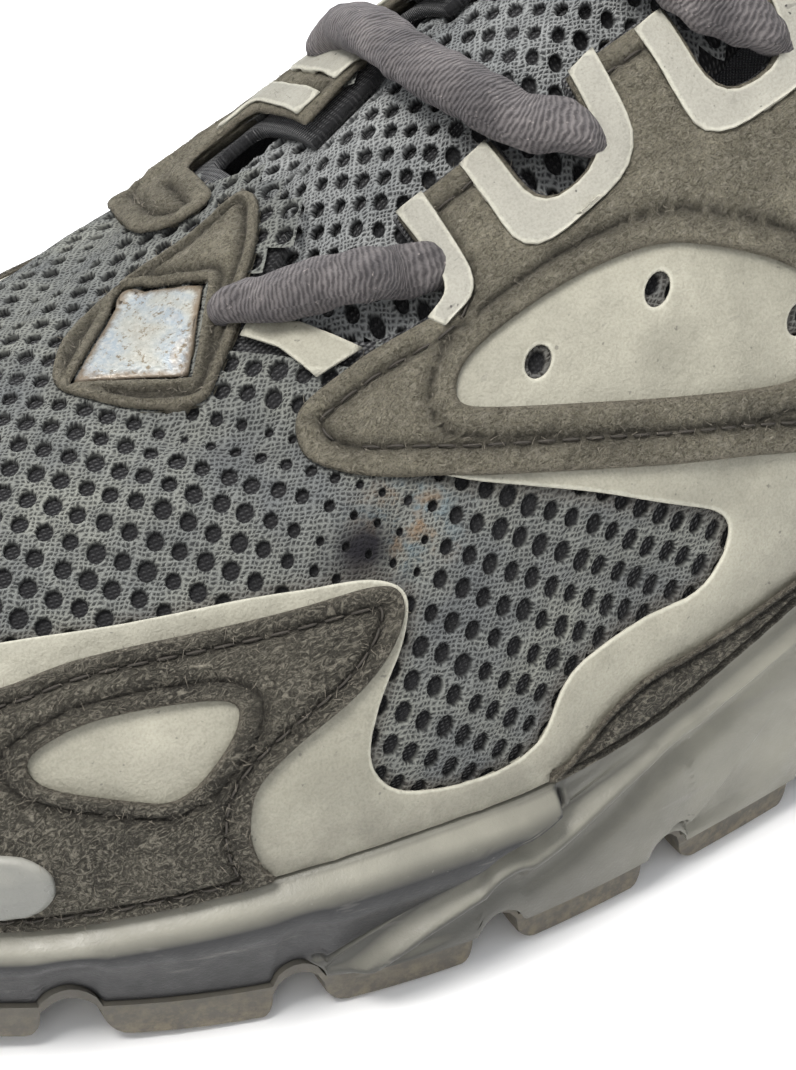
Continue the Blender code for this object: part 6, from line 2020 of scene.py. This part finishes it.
def nap(name, loops, levels, density, length, paint, seed, top=False):
    """Fibres standing off a suede area, more of them along its edges."""
    draw = np.random.default_rng(seed)
    charts = chart_loops(loops, top_chart if top else side_chart)
    every = np.concatenate(charts)
    low, high = every.min(axis=0), every.max(axis=0)
    area = np.prod(high - low)
    spots = low + draw.random((int(area * density), 2)) * (high - low)
    distance = signed_distance(spots, charts)
    keep = (distance > 0) & ((distance < 0.0012) | (draw.random(len(spots)) < 1 - NAP_EDGE))
    spots = spots[keep]
    u, v = (from_top if top else from_chart)(spots).T
    level = levels(u, v) - 0.0001
    roots = worn(u, v, level)
    ways = upper_normal(u, v) * 0.35 + 0.9 * draw.normal(size=(len(u), 3))
    inward = (ways * upper_normal(u, v)).sum(axis=1)
    ways += upper_normal(u, v) * np.where(inward < 0.12, 0.12 - inward, 0)[:, None]
    ways /= np.linalg.norm(ways, axis=1)[:, None]
    lengths = length * draw.uniform(0.4, 1.0, len(u)) ** 1.5
    return strands(name, roots, ways, lengths, FIBRE_WIDTH, paint, 0.6, seed + 1)


def stitches(name, loops, levels, offset, paint):
    """Thread sunk in a seam: a row of short bent bars along the loops' rim."""
    pitch, length, thickness, sides = 0.0030, 0.0021, 0.0003, 6
    charts = chart_loops(loops, step=0.0008)
    all_places, all_faces = [], []
    for loop in charts:
        ring = ring_inside(loop, charts, offset)
        if len(ring) < 4:
            continue
        gaps = np.linalg.norm(np.diff(ring, axis=0), axis=1)
        cuts = [0] + [i + 1 for i, gap in enumerate(gaps) if gap > 0.006] + [len(ring)]
        for first, last in zip(cuts[:-1], cuts[1:]):
            line = ring[first:last]
            if len(line) < 4:
                continue
            reach = np.concatenate([[0], np.cumsum(np.linalg.norm(np.diff(line, axis=0), axis=1))])
            for start in np.arange(0.0005, reach[-1] - length, pitch):
                goal = start + np.linspace(0, length, 5)
                spots = np.column_stack([np.interp(goal, reach, line[:, k]) for k in (0, 1)])
                u, v = from_chart(spots).T
                bow = np.sin(np.linspace(0, math.pi, 5)) * 0.00028 - 0.00046
                places = worn(u, v, levels(u, v) + bow)
                tangent = np.gradient(places, axis=0)
                tangent /= np.linalg.norm(tangent, axis=1)[:, None]
                normal = upper_normal(u, v)
                cross = np.cross(tangent, normal)
                base = len(all_places) * 5 * sides
                turn = np.arange(sides) * 2 * math.pi / sides
                way = np.cos(turn)[None, :, None] * cross[:, None]
                way = way + np.sin(turn)[None, :, None] * normal[:, None]
                all_places.append((places[:, None] + thickness / 2 * way).reshape(-1, 3))
                for row in range(4):
                    for i in range(sides):
                        j = (i + 1) % sides
                        a, b = base + row * sides + i, base + row * sides + j
                        all_faces.append((a, b, b + sides, a + sides))
                all_faces.append(tuple(base + i for i in reversed(range(sides))))
                all_faces.append(tuple(base + 4 * sides + i for i in range(sides)))
    return make_piece(name, np.concatenate(all_places), all_faces, paint, weld=0, sharp=0)


def main():
    """The stage, the paints (darker and lighter tone of each) and every piece of the shoe."""
    add_camera()
    add_stage()
    suede = suede_paint("suede", (0.200, 0.183, 0.135), (0.360, 0.330, 0.245))
    dark_suede = suede_paint("dark suede", (0.058, 0.054, 0.045), (0.118, 0.109, 0.087))
    grey = synthetic_paint("grey synthetic", (0.410, 0.393, 0.318), (0.275, 0.264, 0.210))
    webbing = synthetic_paint("reflective strip", (0.38, 0.368, 0.316), (0.275, 0.265, 0.225), 1.0)
    knit_cloth = knit_paint("knit mesh", (0.245, 0.249, 0.220), (0.155, 0.162, 0.160), 1.0)
    tongue_cloth = knit_paint("tongue knit", (0.350, 0.358, 0.350), (0.240, 0.250, 0.250))
    # Backing: a dark cloth, made near black as painted shade behind the knit's holes.
    shaded_backing = lining_paint("shaded backing cloth", (0.010, 0.010, 0.012))
    lining = lining_paint("lining", (0.055, 0.055, 0.058))
    rubber = rubber_paint("midsole rubber", (0.012, 0.012, 0.013), (0.310, 0.298, 0.242), 0.0, 0.38)
    tread = rubber_paint("outsole rubber", (0.095, 0.088, 0.075), (0.155, 0.144, 0.118), 0.9, 0.70)
    button = rubber_paint("toe button", (0.200, 0.200, 0.180), (0.340, 0.333, 0.295), 0.0, 0.30)
    cord = cord_paint("lace cord", (0.085, 0.077, 0.078), (0.190, 0.172, 0.168))
    film = film_paint("badge film")
    brown = fibre_paint("suede fibres", (0.27, 0.24, 0.19))
    thread = fibre_paint("dark thread", (0.060, 0.052, 0.042))
    add_wall(shaded_backing, lining)
    add_knit(knit_cloth)
    add_layers(grey, suede, dark_suede, webbing, film)
    add_button(button)
    add_tongue(shaded_backing, tongue_cloth)
    add_laces(cord)
    add_midsole(rubber)
    add_outsole(tread)
    add_footbed(lining)
    add_trim(brown, thread)


def add_trim(brown, thread):
    """Nap and stitches on the suede."""
    levels = over_grey(LAYER_HEIGHTS["suede"])
    areas = (("toe", toe_loops()), ("saddle", eyestay_loops(1)), ("inner_saddle", eyestay_loops(-1)))
    for i, (name, loops) in enumerate(areas):
        dress(nap(f"nap_{name}", loops, levels, 1.6e6, 0.0012, brown, 40 + i), "suede")
    on_badge = over_wall(LAYER_HEIGHTS["badge"])
    frame_loops = [BADGE_FRAME, BADGE_HOLE]
    dress(nap("nap_badge", frame_loops, on_badge, 2.0e6, 0.0010, brown, 47, True), "suede")
    for name, loops, offset in (("saddle", eyestay_loops(1), 0.0030), ("toe", toe_loops(), 0.0026)):
        dress(stitches(f"stitches_{name}", loops[:1], levels, offset, thread), "suede")


main()
